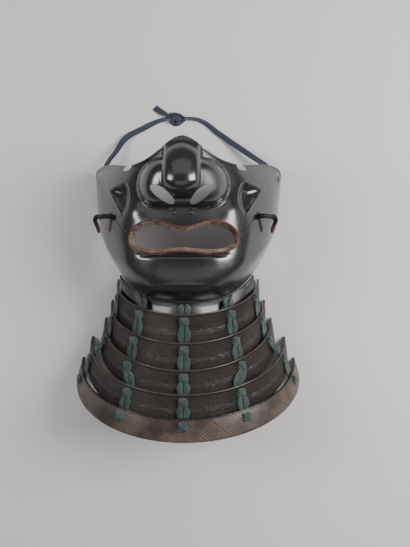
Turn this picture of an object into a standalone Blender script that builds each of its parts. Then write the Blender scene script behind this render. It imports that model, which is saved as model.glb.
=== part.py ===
"""Samurai face guard: an iron half mask with a throat guard of five laced lames, lying on its back.

Metres. +Z points out of the face, +Y towards the bridge of the nose, and X = 0 is the plane of symmetry.
The mask and the throat guard are modelled round the middle of the face, and one empty then carries them to
the middle of their own footprint.
"""

import collections
import math

import bmesh
import bpy
import numpy as np
from mathutils import Quaternion, Vector
from mathutils.bvhtree import BVHTree

# Mask
MASK_HALF_WIDTH = 0.0855  # to the rear edge of an ear flange
MASK_LENGTH = 0.134  # from the top of the bridge to the edge under the chin
MASK_HEIGHT = 0.090  # from the rear edges to the lips
MASK_WALL = 0.0016
SEAM_STEP = 0.0009  # how far the jaw plate lies below the face plate at their seam
STEP_FADE = 0.008  # the height above the rear edges below which that step fades out

# Relief of the face
NOSE_HEIGHT = 0.029
WING_HEIGHT = 0.0215
WING_POWER = 0.47
BAND_HALF_WIDTH = 0.0153
BAND_EDGE_FALL = 0.006
BAND_EDGE_POWER = 14
ROLL_RADIUS = 0.0193
BRIDGE_RADIUS = 0.027
DOME_CURVE = 0.30  # the share of a dome's fall that is gentle: the rest is its steep wall
POCKET_RIDGE = 0.0024  # the crescent ridge round each nose wing
CHEEK_HOLLOW = 0.0065
LEAF_STEP = 0.0028  # width of the hollow's steep edge
LEAF_SLOPE = 0.012  # width over which the hollow rises to its outer edges
MUZZLE_BULGE = 0.0028
LIP_GROOVE = 0.0030
BLEND = 0.0017  # radius that softens where the nose forms meet
SEAM_STEP_LENGTH = 0.012

# Reaches of the relief: shares of MASK_HALF_WIDTH across and of MASK_LENGTH along
RIDGE_RING = 1.07
RIDGE_WIDTH = 0.17
DIP_TOP = 0.500
DIP_LENGTH = 0.060
DIP_SHARE = 0.55
BROW_DIP_TOP = 0.560
BROW_DIP_LENGTH = 0.090
LEAF_EDGE_BEND = 0.058
LEAF_HALF_LENGTH = 0.110
GROOVE_HALF_WIDTH = 0.0140

# Openings in the mask
MOUTH_HALF_LENGTH = 0.0452
MOUTH_UP = 0.0105  # from the mouth's middle line to its upper edge, at X = 0
MOUTH_UP_LOBE = 0.0168
MOUTH_DOWN = 0.0108
MOUTH_DOWN_LOBE = 0.0126
RIM_WIDTH = 0.0044
RIM_DROP = 0.0030  # how much deeper the rim's inner edge lies
RIM_THICKNESS = 0.0012
RIM_PROUD = 0.0006
NOSTRIL_HALF_LENGTH = 0.0112
NOSTRIL_HALF_WIDTH = 0.0041
NOSTRIL_SLANT = math.radians(36)
EYELET_RADIUS = 0.0021
EYELET_SPACING = 0.0044
EYELET_SLANT = math.radians(-14)
TIE_SLOT_WIDTH = 0.0022
TIE_SLOT_LENGTH = 0.0090
TIE_SLOT_POWER = 0.6  # below 1, so that the slot's ends are squarer than an oval's

# Small iron parts
RIVET_RADIUS = 0.0015
HOOK_RADIUS = 0.0019
HOOK_LIFT = 0.0016  # from the mask's face to the peg's axis, at its foot
HOOK_SHOULDER = (0.0037, 0.0041)  # out and up from the foot
HOOK_OUT = 0.0150
HOOK_SINK = 0.0068  # how far the elbow lies below the foot
HOOK_DOWN = 0.0132
HOOK_TIP_IN = 0.0033
HOOK_TIP_SINK = 0.0038
HOOK_BEND = 0.0017

# Throat guard
GUARD_HALF_SPAN = 0.0970  # half the span between the tips of the lowest lame
GUARD_LENGTH = 0.1122  # from the edge under the chin to the lowest edge
COLLAR_RISE = 0.004
COLLAR_HALF_SPAN = 0.0600
COLLAR_WALL = 0.0014
LAME_WALL = 0.0018
LAME_LAP = 0.0060  # how far each lame reaches under the next one
TIP_SHARE = 0.85  # a lame's length at its tips, as a share of its length at the middle
LAME_RIM_WIDTH = 0.0019
LAME_RIM_PROUD = 0.0007
LACE_KNOT_WIDTH = 0.0094
LACE_PAIR_WIDTH = 0.0106
LACE_THICKNESS = 0.0017
LACE_BULGE = 0.0008  # how much thicker the knots and the free cords are

# Ribbon
RIBBON_WIDTH = 0.0050
RIBBON_THICKNESS = 0.0007

GAP = 0.0003  # between pieces that touch
SEAM_GAP = 1.5 * GAP  # between the plates, whose seam is faceted, and under pieces set on a curved face
LACE_SLACK = 0.0006
LACE_ROOM = LACE_THICKNESS + 2 * GAP + LACE_SLACK  # between two lames, for the lacing
LAME_STEP = LAME_WALL + LACE_ROOM  # from one lame's face out to the next one's

# Stations down a lace knot: depth below the lame's rim, width, thickness
KNOT_STATIONS = (
    (0.0030, 0.50 * LACE_KNOT_WIDTH, 0.6 * LACE_THICKNESS),
    (0.0048, LACE_KNOT_WIDTH, LACE_THICKNESS + LACE_BULGE),
    (0.0084, LACE_KNOT_WIDTH, LACE_THICKNESS + LACE_BULGE),
    (0.0106, 0.72 * LACE_KNOT_WIDTH, 0.8 * LACE_THICKNESS),
)
KNOT_END = KNOT_STATIONS[-1][0]
COLLAR_LACE_DEPTH = 0.0030
LACE_START = 0.0012  # from a knot's end to where its cords have their full width
LACE_FULL = 0.62  # the share of a pair's free length over which it stays thick
LACE_DIVE = 0.0014  # how far above the next lame's rim a pair turns in behind it
LACE_TUCK = 0.0045  # how far a pair reaches down behind the next lame
COLLAR_REACH = 0.62  # how far down behind lame 1 the collar goes, as a share of that lame
COLLAR_START = math.radians(16)

# The mask's ribs, from above the brow to the edge under the chin. Lengths along Y are shares of
# MASK_LENGTH, heights are shares of MASK_HEIGHT, and half_width is a share of MASK_HALF_WIDTH. The bow is
# the exponent with which a rib bends from its middle to its ends, and tent is 0 for a round arch and 1 for
# straight flanks.
Rib = collections.namedtuple("Rib", "middle_y end_y middle_z end_z half_width bow tent")
RIBS = (
    Rib(0.851, 0.739, 1.040, 0.000, 1.000, 2.0, 1.00),
    Rib(0.709, 0.672, 1.085, 0.000, 0.998, 2.0, 0.85),
    Rib(0.560, 0.567, 0.978, 0.000, 0.986, 2.0, 0.35),
    Rib(0.410, 0.470, 0.967, 0.000, 0.971, 2.2, 0.05),
    Rib(0.224, 0.343, 1.000, 0.000, 0.953, 2.4, 0.00),
    Rib(0.104, 0.276, 0.985, 0.044, 0.924, 2.6, 0.00),
    Rib(0.015, 0.246, 0.969, 0.089, 0.901, 2.7, 0.00),
    Rib(-0.067, 0.228, 0.930, 0.117, 0.883, 3.0, 0.10),
    Rib(-0.127, 0.219, 0.825, 0.128, 0.876, 3.15, 0.50),
    Rib(-0.174, 0.213, 0.644, 0.133, 0.871, 3.3, 1.00),
)
ARCH_BOW = 2.7
ARCH_POWER = 0.62
TENT_POWER = 1.45
TENT_ROUNDING = 0.15
COLLAR_TOP_Z = RIBS[-1].middle_z * MASK_HEIGHT

# The mask's upper outline and the seam between its plates: shares of MASK_HALF_WIDTH and MASK_LENGTH.
Place = collections.namedtuple("Place", "across up")
TOP_EDGE = (
    Place(0.000, 0.811),
    Place(0.058, 0.801),
    Place(0.117, 0.780),
    Place(0.205, 0.743),
    Place(0.281, 0.712),
    Place(0.363, 0.687),
    Place(0.444, 0.674),
    Place(0.538, 0.669),
    Place(0.632, 0.681),
    Place(0.725, 0.700),
    Place(0.819, 0.713),
    Place(0.900, 0.716),
    Place(0.953, 0.709),
    Place(0.986, 0.687),
    Place(1.000, 0.657),
)
SEAM = (
    Place(0.000, 0.205),
    Place(0.440, 0.205),
    Place(0.538, 0.250),
    Place(0.596, 0.274),
    Place(0.655, 0.322),
    Place(0.708, 0.380),
    Place(0.735, 0.372),
    Place(0.960, 0.343),
    Place(1.000, 0.340),
)
MOUTH_MIDDLE = Place(0.000, 0.2045)
NOSE_TIP = Place(0.000, 0.540)
POCKET = Place(0.140, 0.534)
NOSTRIL = Place(0.181, 0.463)
MUZZLE = Place(0.470, 0.385)
POCKET_REACH = Place(0.287, 0.138)
MUZZLE_REACH = Place(0.105, 0.075)
TIP_REACH = Place(0.211, 0.102)
LEAF_EDGE = Place(0.520, 0.470)
LEAF_TIP = Place(0.582, 0.347)
LEAF_OUTER = Place(0.766, 0.530)
LEAF_TOP = Place(0.561, 0.567)
GROOVE_END = Place(0.460, 0.1120)
EYELET = Place(0.555, 0.655)
TIE_SLOT = Place(0.955, 0.645)
RIVET = Place(0.078, 0.360)
HOOK_FOOT = Place(0.722, 0.356)

# The lames, from the chin down. Spans are shares of GUARD_HALF_SPAN, lengths are shares of GUARD_LENGTH
# from the edge under the chin, and the lace columns are shares of the lame's own half span.
Lame = collections.namedtuple("Lame", "half_span tip_y apex_y visible flare tip_z mid_column far_column")
LAMES = (
    Lame(0.665, -0.163, 0.092, 0.206, 0.010, 0.0022, 0.595, 0.935),
    Lame(0.722, 0.006, 0.298, 0.193, 0.012, 0.0018, 0.605, 0.940),
    Lame(0.784, 0.153, 0.491, 0.168, 0.035, 0.0014, 0.615, 0.945),
    Lame(0.912, 0.307, 0.659, 0.165, 0.030, 0.0008, 0.525, 0.960),
    Lame(1.000, 0.479, 0.824, 0.176, 0.050, 0.0000, 0.523, 0.962),
)

# The ribbon's route, chosen by hand round the middle of the face: metres.
RIBBON_LEFT = (
    (-0.0791, 0.0858, 0.0080),
    (-0.0780, 0.0890, 0.0088),
    (-0.0765, 0.0930, 0.0098),
    (-0.0747, 0.0972, 0.0108),
    (-0.0724, 0.1006, 0.0112),
    (-0.0701, 0.1044, 0.0106),
    (-0.0672, 0.1084, 0.0090),
    (-0.0646, 0.1126, 0.0072),
    (-0.0622, 0.1172, 0.0054),
    (-0.0594, 0.1218, 0.0038),
    (-0.0554, 0.1259, 0.0024),
    (-0.0508, 0.1288, 0.0014),
    (-0.0440, 0.1323, 0.0009),
    (-0.0370, 0.1359, 0.0008),
    (-0.0305, 0.1390, 0.0008),
    (-0.0250, 0.1409, 0.0010),
    (-0.0199, 0.1417, 0.0018),
)
RIBBON_RIGHT = (
    (0.0791, 0.0858, 0.0080),
    (0.0780, 0.0886, 0.0092),
    (0.0758, 0.0925, 0.0108),
    (0.0725, 0.0958, 0.0118),
    (0.0690, 0.0984, 0.0120),
    (0.0640, 0.1018, 0.0110),
    (0.0564, 0.1072, 0.0088),
    (0.0480, 0.1134, 0.0062),
    (0.0401, 0.1193, 0.0038),
    (0.0325, 0.1250, 0.0020),
    (0.0257, 0.1300, 0.0010),
    (0.0200, 0.1349, 0.0008),
    (0.0145, 0.1388, 0.0008),
    (0.0100, 0.1409, 0.0008),
    (0.0050, 0.1420, 0.0010),
    (0.0000, 0.1423, 0.0014),
    (-0.0033, 0.1422, 0.0020),
)
RIBBON_TAIL = (
    (-0.0192, 0.1454, 0.0030),
    (-0.0226, 0.1472, 0.0026),
    (-0.0256, 0.1490, 0.0018),
    (-0.0284, 0.1510, 0.0010),
    (-0.0306, 0.1528, 0.0006),
)
RIBBON_TURN = math.radians(56)  # how far the ribbon stands on edge where it leaves its slot
RIBBON_FLAT_FROM = 9  # the point of a route from which it lies flat
RIBBON_KNOT = (-0.0116, 0.1418, 0.0029)
RIBBON_KNOT_HALF = (0.0086, 0.0048, 0.0027)

# Mesh steps
FACE_ROWS = 20
JAW_ROWS = 10
HALF_COLUMNS = 20
LAME_SEGMENTS = 22
RIM_SEGMENTS = 44


def smooth_curve(places, values):
    """A natural cubic spline through the points, as a function that takes an array."""
    places = np.array(places, float)
    values = np.array(values, float)
    steps = np.diff(places)
    slopes = np.diff(values) / steps
    count = len(places)
    system = np.eye(count)
    wanted = np.zeros(count)
    for i in range(1, count - 1):
        system[i, i - 1 : i + 2] = steps[i - 1], 2 * (steps[i - 1] + steps[i]), steps[i]
        wanted[i] = 6 * (slopes[i] - slopes[i - 1])
    bends = np.linalg.solve(system, wanted)

    def at(x):
        x = np.asarray(x, float)
        i = np.clip(np.searchsorted(places, x) - 1, 0, count - 2)
        h = steps[i]
        a = (places[i + 1] - x) / h
        b = 1 - a
        bend = ((a**3 - a) * bends[i] + (b**3 - b) * bends[i + 1]) * h * h / 6
        return a * values[i] + b * values[i + 1] + bend

    return at


def smoothstep(x):
    x = np.clip(x, 0.0, 1.0)
    return x * x * (3 - 2 * x)


def straight_curve(rows):
    """The height along Y of a row of Places, as a function of X, with straight runs between them."""
    across = [row.across * MASK_HALF_WIDTH for row in rows]
    up = [row.up * MASK_LENGTH for row in rows]
    return lambda x: np.interp(np.abs(x), across, up)


def point_of(place, side=1):
    return side * place.across * MASK_HALF_WIDTH, place.up * MASK_LENGTH


RIB_PLACES = [(RIBS[0].middle_y - rib.middle_y) / (RIBS[0].middle_y - RIBS[-1].middle_y) for rib in RIBS]
RIB_CURVES = {name: smooth_curve(RIB_PLACES, [getattr(rib, name) for rib in RIBS]) for name in Rib._fields}
TOP_SPLINE = smooth_curve([p.across for p in TOP_EDGE], [p.up for p in TOP_EDGE])
SEAM_CURVE = straight_curve(SEAM)


def top_curve(x):
    """The height along Y of the mask's upper outline."""
    return TOP_SPLINE(np.abs(x) / MASK_HALF_WIDTH) * MASK_LENGTH


def rib_point(s, t):
    """The bare mask without relief: s runs from -1 to 1 across it, t from 0 at the brow to 1 at the jaw."""
    rib = {name: curve(t) for name, curve in RIB_CURVES.items()}
    rib["end_z"] = np.maximum(rib["end_z"], 0.0)
    r = np.abs(s)
    x = rib["half_width"] * MASK_HALF_WIDTH * s
    y = (rib["middle_y"] + (rib["end_y"] - rib["middle_y"]) * r ** rib["bow"]) * MASK_LENGTH
    arch = 1 - np.maximum(1 - r**ARCH_BOW, 0) ** ARCH_POWER
    low = TENT_ROUNDING**TENT_POWER
    high = (1 + TENT_ROUNDING**2) ** (TENT_POWER / 2)
    tent = ((r * r + TENT_ROUNDING**2) ** (TENT_POWER / 2) - low) / (high - low)
    drop = (1 - rib["tent"]) * arch + rib["tent"] * tent
    z = (rib["middle_z"] - (rib["middle_z"] - rib["end_z"]) * drop) * MASK_HEIGHT
    return x, y, z


def soft_max(forms, radius):
    top = np.maximum.reduce(forms)
    return top + radius * np.log(sum(np.exp((form - top) / radius) for form in forms))


def mouth_outline(angle, margin):
    """A point of the mouth's outline, grown outwards by margin."""
    c = np.cos(angle)
    s = np.sin(angle)
    half = MOUTH_HALF_LENGTH + margin
    x = half * np.sign(c) * np.abs(c) ** 0.62
    share = np.abs(x) / half
    lobe = smoothstep(share / 0.62)
    up = MOUTH_UP + (MOUTH_UP_LOBE - MOUTH_UP) * lobe + margin
    down = MOUTH_DOWN + (MOUTH_DOWN_LOBE - MOUTH_DOWN) * lobe + margin
    closing = np.maximum(1 - share**4.2, 0) ** 0.46
    y = np.where(s >= 0, up, -down) * closing
    return x, MOUTH_MIDDLE.up * MASK_LENGTH + y


def wing_relief(across, up):
    """The nose's broad dome with the crescent ridge round its foot. It sinks under the nose's middle."""
    beside = np.maximum(across - POCKET.across, 0) / POCKET_REACH.across
    ring = beside**3 + ((up - POCKET.up) / POCKET_REACH.up) ** 2
    dome = WING_HEIGHT * np.maximum(1 - ring, 0) ** WING_POWER
    between = 1 - smoothstep((across - 0.4 * NOSTRIL.across) / (0.6 * NOSTRIL.across))
    below = smoothstep((DIP_TOP - up) / DIP_LENGTH)
    above = smoothstep((up - BROW_DIP_TOP) / BROW_DIP_LENGTH)
    ridge = np.exp(-(((ring - RIDGE_RING) / RIDGE_WIDTH) ** 2)) * smoothstep((across - 0.05) / 0.1)
    return dome * (1 - between * (DIP_SHARE * below + above)) + POCKET_RIDGE * ridge


def left_of(across, up, start, end):
    """How many metres a point lies to the left of the line from one Place to another."""
    start_x, start_y = point_of(start)
    end_x, end_y = point_of(end)
    length = math.hypot(end_x - start_x, end_y - start_y)
    along_x = (end_x - start_x) / length
    along_y = (end_y - start_y) / length
    return along_x * (up * MASK_LENGTH - start_y) - along_y * (across * MASK_HALF_WIDTH - start_x)


def cheek_relief(across, up):
    """The leaf-shaped hollow in the cheek: steep at its crescent edge and rising to two straight ones."""
    crescent = LEAF_EDGE.across + LEAF_EDGE_BEND * ((up - LEAF_EDGE.up) / LEAF_HALF_LENGTH) ** 2
    depth = smoothstep((across - crescent) * MASK_HALF_WIDTH / LEAF_STEP)
    for start, end in ((LEAF_TIP, LEAF_OUTER), (LEAF_OUTER, LEAF_TOP)):
        share = np.clip(left_of(across, up, start, end) / LEAF_SLOPE, 0, 1)
        depth = depth * share * (2 - share)
    return -CHEEK_HOLLOW * depth


def lip_relief(across, up):
    """The swelling over the mouth's corner and the groove under the lower lip."""
    beside = (across - MUZZLE.across) / MUZZLE_REACH.across
    bulge = np.exp(-(beside**2) - ((up - MUZZLE.up) / MUZZLE_REACH.up) ** 2)
    groove = np.exp(-(((up - GROOVE_END.up) / GROOVE_HALF_WIDTH) ** 2))
    groove = groove * (1 - smoothstep((across - 0.65 * GROOVE_END.across) / (0.35 * GROOVE_END.across)))
    return MUZZLE_BULGE * bulge - LIP_GROOVE * groove


def dome_fall(q):
    """How far a dome has fallen at the squared share q of its reach: 0 in its middle and 1 at its reach."""
    return DOME_CURVE * q + (1 - DOME_CURVE) * q**3


def nose_middle(across, up):
    """The height of the rolled band from the brow to the nose's tip, which falls away under the tip."""
    x = across * MASK_HALF_WIDTH
    rise = (up - NOSE_TIP.up) * MASK_LENGTH
    roll = x**2 / (2 * ROLL_RADIUS) + x**4 / (8 * ROLL_RADIUS**3)
    roll = roll + BAND_EDGE_FALL * (x / BAND_HALF_WIDTH) ** BAND_EDGE_POWER
    corner = (across / TIP_REACH.across) ** 2
    under = dome_fall(corner + (rise / (TIP_REACH.up * MASK_LENGTH)) ** 2) - dome_fall(corner)
    fall = np.where(rise > 0, rise**2 / (2 * BRIDGE_RADIUS), NOSE_HEIGHT * under)
    return RIBS[2].middle_z * MASK_HEIGHT + NOSE_HEIGHT - roll - fall


def relief(x, y, base, is_jaw):
    """The height of the mask's outer face at (x, y), where its ribs alone give base."""
    across = np.abs(x) / MASK_HALF_WIDTH
    up = y / MASK_LENGTH
    skin = base + wing_relief(across, up) + cheek_relief(across, up) + lip_relief(across, up)
    if is_jaw:
        near_seam = np.exp(-(((SEAM_CURVE(x) - y) / SEAM_STEP_LENGTH) ** 2))
        skin = skin - SEAM_STEP * near_seam * smoothstep(base / STEP_FADE)
    return soft_max([skin, nose_middle(across, up)], BLEND)


def settle_rows(s, curve):
    """The t at which each column meets a curve y = curve(x)."""
    low = np.zeros_like(s)
    high = np.ones_like(s)
    for _ in range(40):
        t = (low + high) / 2
        x, y, _ = rib_point(s, t)
        above = y > curve(x)
        low = np.where(above, t, low)
        high = np.where(above, high, t)
    return (low + high) / 2


def mask_columns():
    """The shares across the mask, closer together at the nose and at the steep flanks."""
    u = np.linspace(0, 1, HALF_COLUMNS + 1)
    half = u - 0.058 * np.sin(2 * np.pi * u)
    return np.concatenate([-half[:0:-1], half])


def plate_point(s, t, is_jaw):
    x, y, base = rib_point(s, t)
    return np.stack([x, y, relief(x, y, base, is_jaw)], axis=-1)


def rib_normal(s, t):
    """The outward normal of the bare mask."""
    step = 1e-3
    edge = 1 - 2 * step
    s = np.clip(s, -edge, edge)
    t = np.clip(t, step, 1 - step)
    along_s = np.stack(rib_point(s + step, t), -1) - np.stack(rib_point(s - step, t), -1)
    along_t = np.stack(rib_point(s, t + step), -1) - np.stack(rib_point(s, t - step), -1)
    normal = np.cross(along_t, along_s)
    return normal / np.linalg.norm(normal, axis=-1, keepdims=True)


def face_height(x, y):
    """The height of the uncut mask's outer face at one place (x, y)."""
    above = Vector((x, y, 3 * MASK_HEIGHT))
    found = [plate.ray_cast(above, Vector((0, 0, -1)))[0] for plate in UNCUT_PLATES]
    return max(place.z for place in found if place is not None)


def face_normal(x, y, reach):
    """The outward direction of the mask's face, averaged over this reach."""
    rise_x = face_height(x + reach, y) - face_height(x - reach, y)
    rise_y = face_height(x, y + reach) - face_height(x, y - reach)
    return Vector((-rise_x, -rise_y, 2 * reach)).normalized()


def empty_scene():
    for obj in list(bpy.data.objects):
        bpy.data.objects.remove(obj, do_unlink=True)


def collection(name):
    made = bpy.data.collections.new(name)
    bpy.context.scene.collection.children.link(made)
    return made


def material(name, colour, roughness, metallic=0.0):
    made = bpy.data.materials.new(name)
    made.use_nodes = True
    shader = made.node_tree.nodes["Principled BSDF"]
    shader.inputs["Base Color"].default_value = (*colour, 1.0)
    shader.inputs["Roughness"].default_value = roughness
    shader.inputs["Metallic"].default_value = metallic
    return made


def add_object(name, data, finish, smooth=True):
    obj = bpy.data.objects.new(name, data)
    PARTS.objects.link(obj)
    obj.parent = ROOT
    obj.data.materials.append(finish)
    if smooth and obj.type == "MESH":
        obj.data.shade_smooth()
        obj.data.set_sharp_from_angle(angle=math.radians(40))
    return obj


def mesh_of_rings(name, rings, closed_path=False):
    """A closed skin over rings of points, all with the same count, with flat caps on an open path."""
    work = bmesh.new()
    loops = [[work.verts.new(tuple(point)) for point in ring] for ring in rings]
    pairs = list(zip(loops, loops[1:] + loops[:1])) if closed_path else list(zip(loops, loops[1:]))
    for one, other in pairs:
        for i in range(len(one)):
            j = (i + 1) % len(one)
            work.faces.new((one[i], one[j], other[j], other[i]))
    if not closed_path:
        work.faces.new(loops[0][::-1])
        work.faces.new(loops[-1])
    bmesh.ops.recalc_face_normals(work, faces=work.faces)
    mesh = bpy.data.meshes.new(name)
    work.to_mesh(mesh)
    work.free()
    return mesh


def mesh_of_shell(name, outer, inner):
    """A closed shell between two grids of points of the same size."""
    rows, columns = outer.shape[:2]
    work = bmesh.new()
    front = [[work.verts.new(tuple(p)) for p in row] for row in outer]
    back = [[work.verts.new(tuple(p)) for p in row] for row in inner]
    for i in range(rows - 1):
        for j in range(columns - 1):
            falling = np.linalg.norm(outer[i, j] - outer[i + 1, j + 1])
            rising = np.linalg.norm(outer[i + 1, j] - outer[i, j + 1])
            for grid, flip in ((front, 1), (back, -1)):
                a, b, c, d = grid[i][j], grid[i + 1][j], grid[i + 1][j + 1], grid[i][j + 1]
                for corners in ((a, b, c), (a, c, d)) if falling < rising else ((a, b, d), (b, c, d)):
                    work.faces.new(corners[::flip])
    border = [(0, j) for j in range(columns)] + [(i, columns - 1) for i in range(1, rows)]
    border += [(rows - 1, j) for j in range(columns - 2, -1, -1)] + [(i, 0) for i in range(rows - 2, 0, -1)]
    for (i, j), (k, m) in zip(border, border[1:] + border[:1]):
        work.faces.new((front[i][j], front[k][m], back[k][m], back[i][j]))
    bmesh.ops.recalc_face_normals(work, faces=work.faces)
    mesh = bpy.data.meshes.new(name)
    work.to_mesh(mesh)
    work.free()
    return mesh


def prism_cutter(name, outline):
    """A cutter with this outline in plan, longer than the mask is high."""
    low = -MASK_HEIGHT
    high = 2.5 * MASK_HEIGHT
    rings = [[(x, y, z) for x, y in outline] for z in (low, high)]
    obj = bpy.data.objects.new(name, mesh_of_rings(name, rings))
    CUTTERS.objects.link(obj)
    obj.parent = ROOT
    obj.hide_render = True
    obj.display_type = "WIRE"
    return obj


def cut(obj, cutter):
    boolean = obj.modifiers.new("cut " + cutter.name, "BOOLEAN")
    boolean.operation = "DIFFERENCE"
    boolean.solver = "EXACT"
    boolean.object = cutter


def oval(centre, half_length, half_width, turn=0.0, count=16, square=1.0):
    points = []
    for i in range(count):
        angle = 2 * math.pi * i / count
        along = math.copysign(abs(math.cos(angle)) ** square, math.cos(angle)) * half_length
        beside = math.copysign(abs(math.sin(angle)) ** square, math.sin(angle)) * half_width
        x = centre[0] + along * math.cos(turn) - beside * math.sin(turn)
        y = centre[1] + along * math.sin(turn) + beside * math.cos(turn)
        points.append((x, y))
    return points


def mirrored(outline):
    return [(-x, y) for x, y in outline[::-1]]


def build_plate(name, first, last, rows, is_jaw, finish):
    s = mask_columns()
    u = np.linspace(0, 1, rows + 1)[:, None]
    t = first(s) * (1 - u) + last(s) * u
    grid_s = np.broadcast_to(s, t.shape)
    outer = plate_point(grid_s, t, is_jaw)
    inner = outer - MASK_WALL * rib_normal(grid_s, t)
    inner[..., 2] = np.maximum(inner[..., 2], 0.0)
    mesh = mesh_of_shell(name, outer, inner)
    places = [vertex.co for vertex in mesh.vertices]
    UNCUT_PLATES.append(BVHTree.FromPolygons(places, [face.vertices[:] for face in mesh.polygons]))
    return add_object(name, mesh, finish)


def build_mask():
    half_gap = SEAM_GAP / 2

    def top(s):
        return settle_rows(s, top_curve)

    def face_end(s):
        return settle_rows(s, lambda x: SEAM_CURVE(x) + half_gap)

    def jaw_start(s):
        return settle_rows(s, lambda x: SEAM_CURVE(x) - half_gap)

    face = build_plate("face_plate", top, face_end, FACE_ROWS, False, LACQUER)
    jaw = build_plate("jaw_plate", jaw_start, np.ones_like, JAW_ROWS, True, LACQUER)

    angles = np.linspace(0, 2 * np.pi, RIM_SEGMENTS, endpoint=False)
    mouth = prism_cutter("mouth_cutter", list(zip(*mouth_outline(angles, 0.0))))
    cut(face, mouth)
    cut(jaw, mouth)
    for side, turned in (("right", False), ("left", True)):
        nostril = oval(point_of(NOSTRIL), NOSTRIL_HALF_LENGTH, NOSTRIL_HALF_WIDTH, NOSTRIL_SLANT)
        eyelet = oval(point_of(EYELET), EYELET_RADIUS + EYELET_SPACING / 2, EYELET_RADIUS, EYELET_SLANT, 12)
        half_slot = (TIE_SLOT_LENGTH / 2, TIE_SLOT_WIDTH / 2)
        slot = oval(point_of(TIE_SLOT), *half_slot, math.pi / 2, 12, TIE_SLOT_POWER)
        for kind, outline in (("nostril", nostril), ("eyelet", eyelet), ("tie_slot", slot)):
            cutter = prism_cutter(f"{kind}_cutter_{side}", mirrored(outline) if turned else outline)
            cut(face, cutter)


def build_mouth_rim():
    angles = np.linspace(0, 2 * np.pi, RIM_SEGMENTS, endpoint=False)
    outer_x, outer_y = mouth_outline(angles, -GAP)
    bead_x, bead_y = mouth_outline(angles, -GAP - RIM_THICKNESS)
    inner_x, inner_y = mouth_outline(angles, -RIM_WIDTH)
    rings = []
    for i in range(RIM_SEGMENTS):
        face = face_height(outer_x[i], outer_y[i])
        low = face - RIM_DROP
        rings.append(
            [
                (outer_x[i], outer_y[i], face + 0.4 * RIM_PROUD),
                (bead_x[i], bead_y[i], face + RIM_PROUD),
                (inner_x[i], inner_y[i], low),
                (inner_x[i], inner_y[i], low - RIM_THICKNESS),
                (bead_x[i], bead_y[i], face - 1.6 * RIM_THICKNESS),
                (outer_x[i], outer_y[i], face - 1.3 * RIM_THICKNESS),
            ]
        )
    add_object("mouth_rim", mesh_of_rings("mouth_rim", rings, closed_path=True), RIM_LACQUER)


def build_rivets():
    for side, sign in (("left", -1), ("right", 1)):
        x, y = point_of(RIVET, sign)
        normal = face_normal(x, y, RIVET_RADIUS)
        mesh = bpy.data.meshes.new("rivet_" + side)
        work = bmesh.new()
        bmesh.ops.create_uvsphere(work, u_segments=10, v_segments=6, radius=RIVET_RADIUS)
        everything = work.verts[:] + work.edges[:] + work.faces[:]
        bmesh.ops.bisect_plane(
            work, geom=everything, plane_co=(0, 0, 0), plane_no=(0, 0, -1), clear_outer=True
        )
        bmesh.ops.holes_fill(work, edges=work.edges[:])
        bmesh.ops.recalc_face_normals(work, faces=work.faces)
        work.to_mesh(mesh)
        work.free()
        rivet = add_object("rivet_" + side, mesh, LACQUER)
        rivet.location = Vector((x, y, face_height(x, y))) + SEAM_GAP * normal
        rivet.rotation_euler = normal.to_track_quat("Z", "Y").to_euler()


def rounded_route(corners, radius, steps=4):
    """The corners of a bent rod with each inner one replaced by an arc."""
    points = [Vector(corners[0])]
    for before, corner, after in zip(corners, corners[1:], corners[2:]):
        corner = Vector(corner)
        start = corner + radius * (Vector(before) - corner).normalized()
        end = corner + radius * (Vector(after) - corner).normalized()
        for i in range(steps + 1):
            f = i / steps
            points.append((1 - f) ** 2 * start + 2 * f * (1 - f) * corner + f * f * end)
    points.append(Vector(corners[-1]))
    return points


def rod(name, points, radius, finish):
    curve = bpy.data.curves.new(name, "CURVE")
    curve.dimensions = "3D"
    curve.bevel_depth = radius
    curve.bevel_resolution = 1
    curve.use_fill_caps = True
    spline = curve.splines.new("POLY")
    spline.points.add(len(points) - 1)
    for target, point in zip(spline.points, points):
        target.co = (*point, 1.0)
    return add_object(name, curve, finish)


def build_hooks():
    for side, sign in (("left", -1), ("right", 1)):
        x, y = point_of(HOOK_FOOT, sign)
        foot_z = face_height(x, y)
        foot = (x, y, foot_z + HOOK_LIFT)
        shoulder = (x + sign * HOOK_SHOULDER[0], y, foot_z + HOOK_SHOULDER[1])
        elbow = (x + sign * HOOK_OUT, y, foot_z - HOOK_SINK)
        end = (elbow[0] - sign * HOOK_TIP_IN, y - HOOK_DOWN, elbow[2] - HOOK_TIP_SINK)
        route = rounded_route((foot, shoulder, elbow, end), HOOK_BEND)
        rod("cheek_hook_" + side, route, HOOK_RADIUS, HOOK_IRON)


def jaw_edge(share):
    """A point of the edge under the chin: share runs from -1 to 1 along the collar."""
    rib = RIBS[-1]
    s = share * COLLAR_HALF_SPAN / (rib.half_width * MASK_HALF_WIDTH)
    return np.stack(rib_point(s, np.ones_like(s)), axis=-1)


def arch_point(half_span, tip_y, apex_y, tip_z, apex_z, angle):
    """A point of a leaning half ellipse: angle 0 is its right tip and pi its left one."""
    lift = np.sin(angle)
    x = half_span * np.cos(angle)
    return np.stack([x, tip_y + (apex_y - tip_y) * lift, tip_z + (apex_z - tip_z) * lift], axis=-1)


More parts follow.
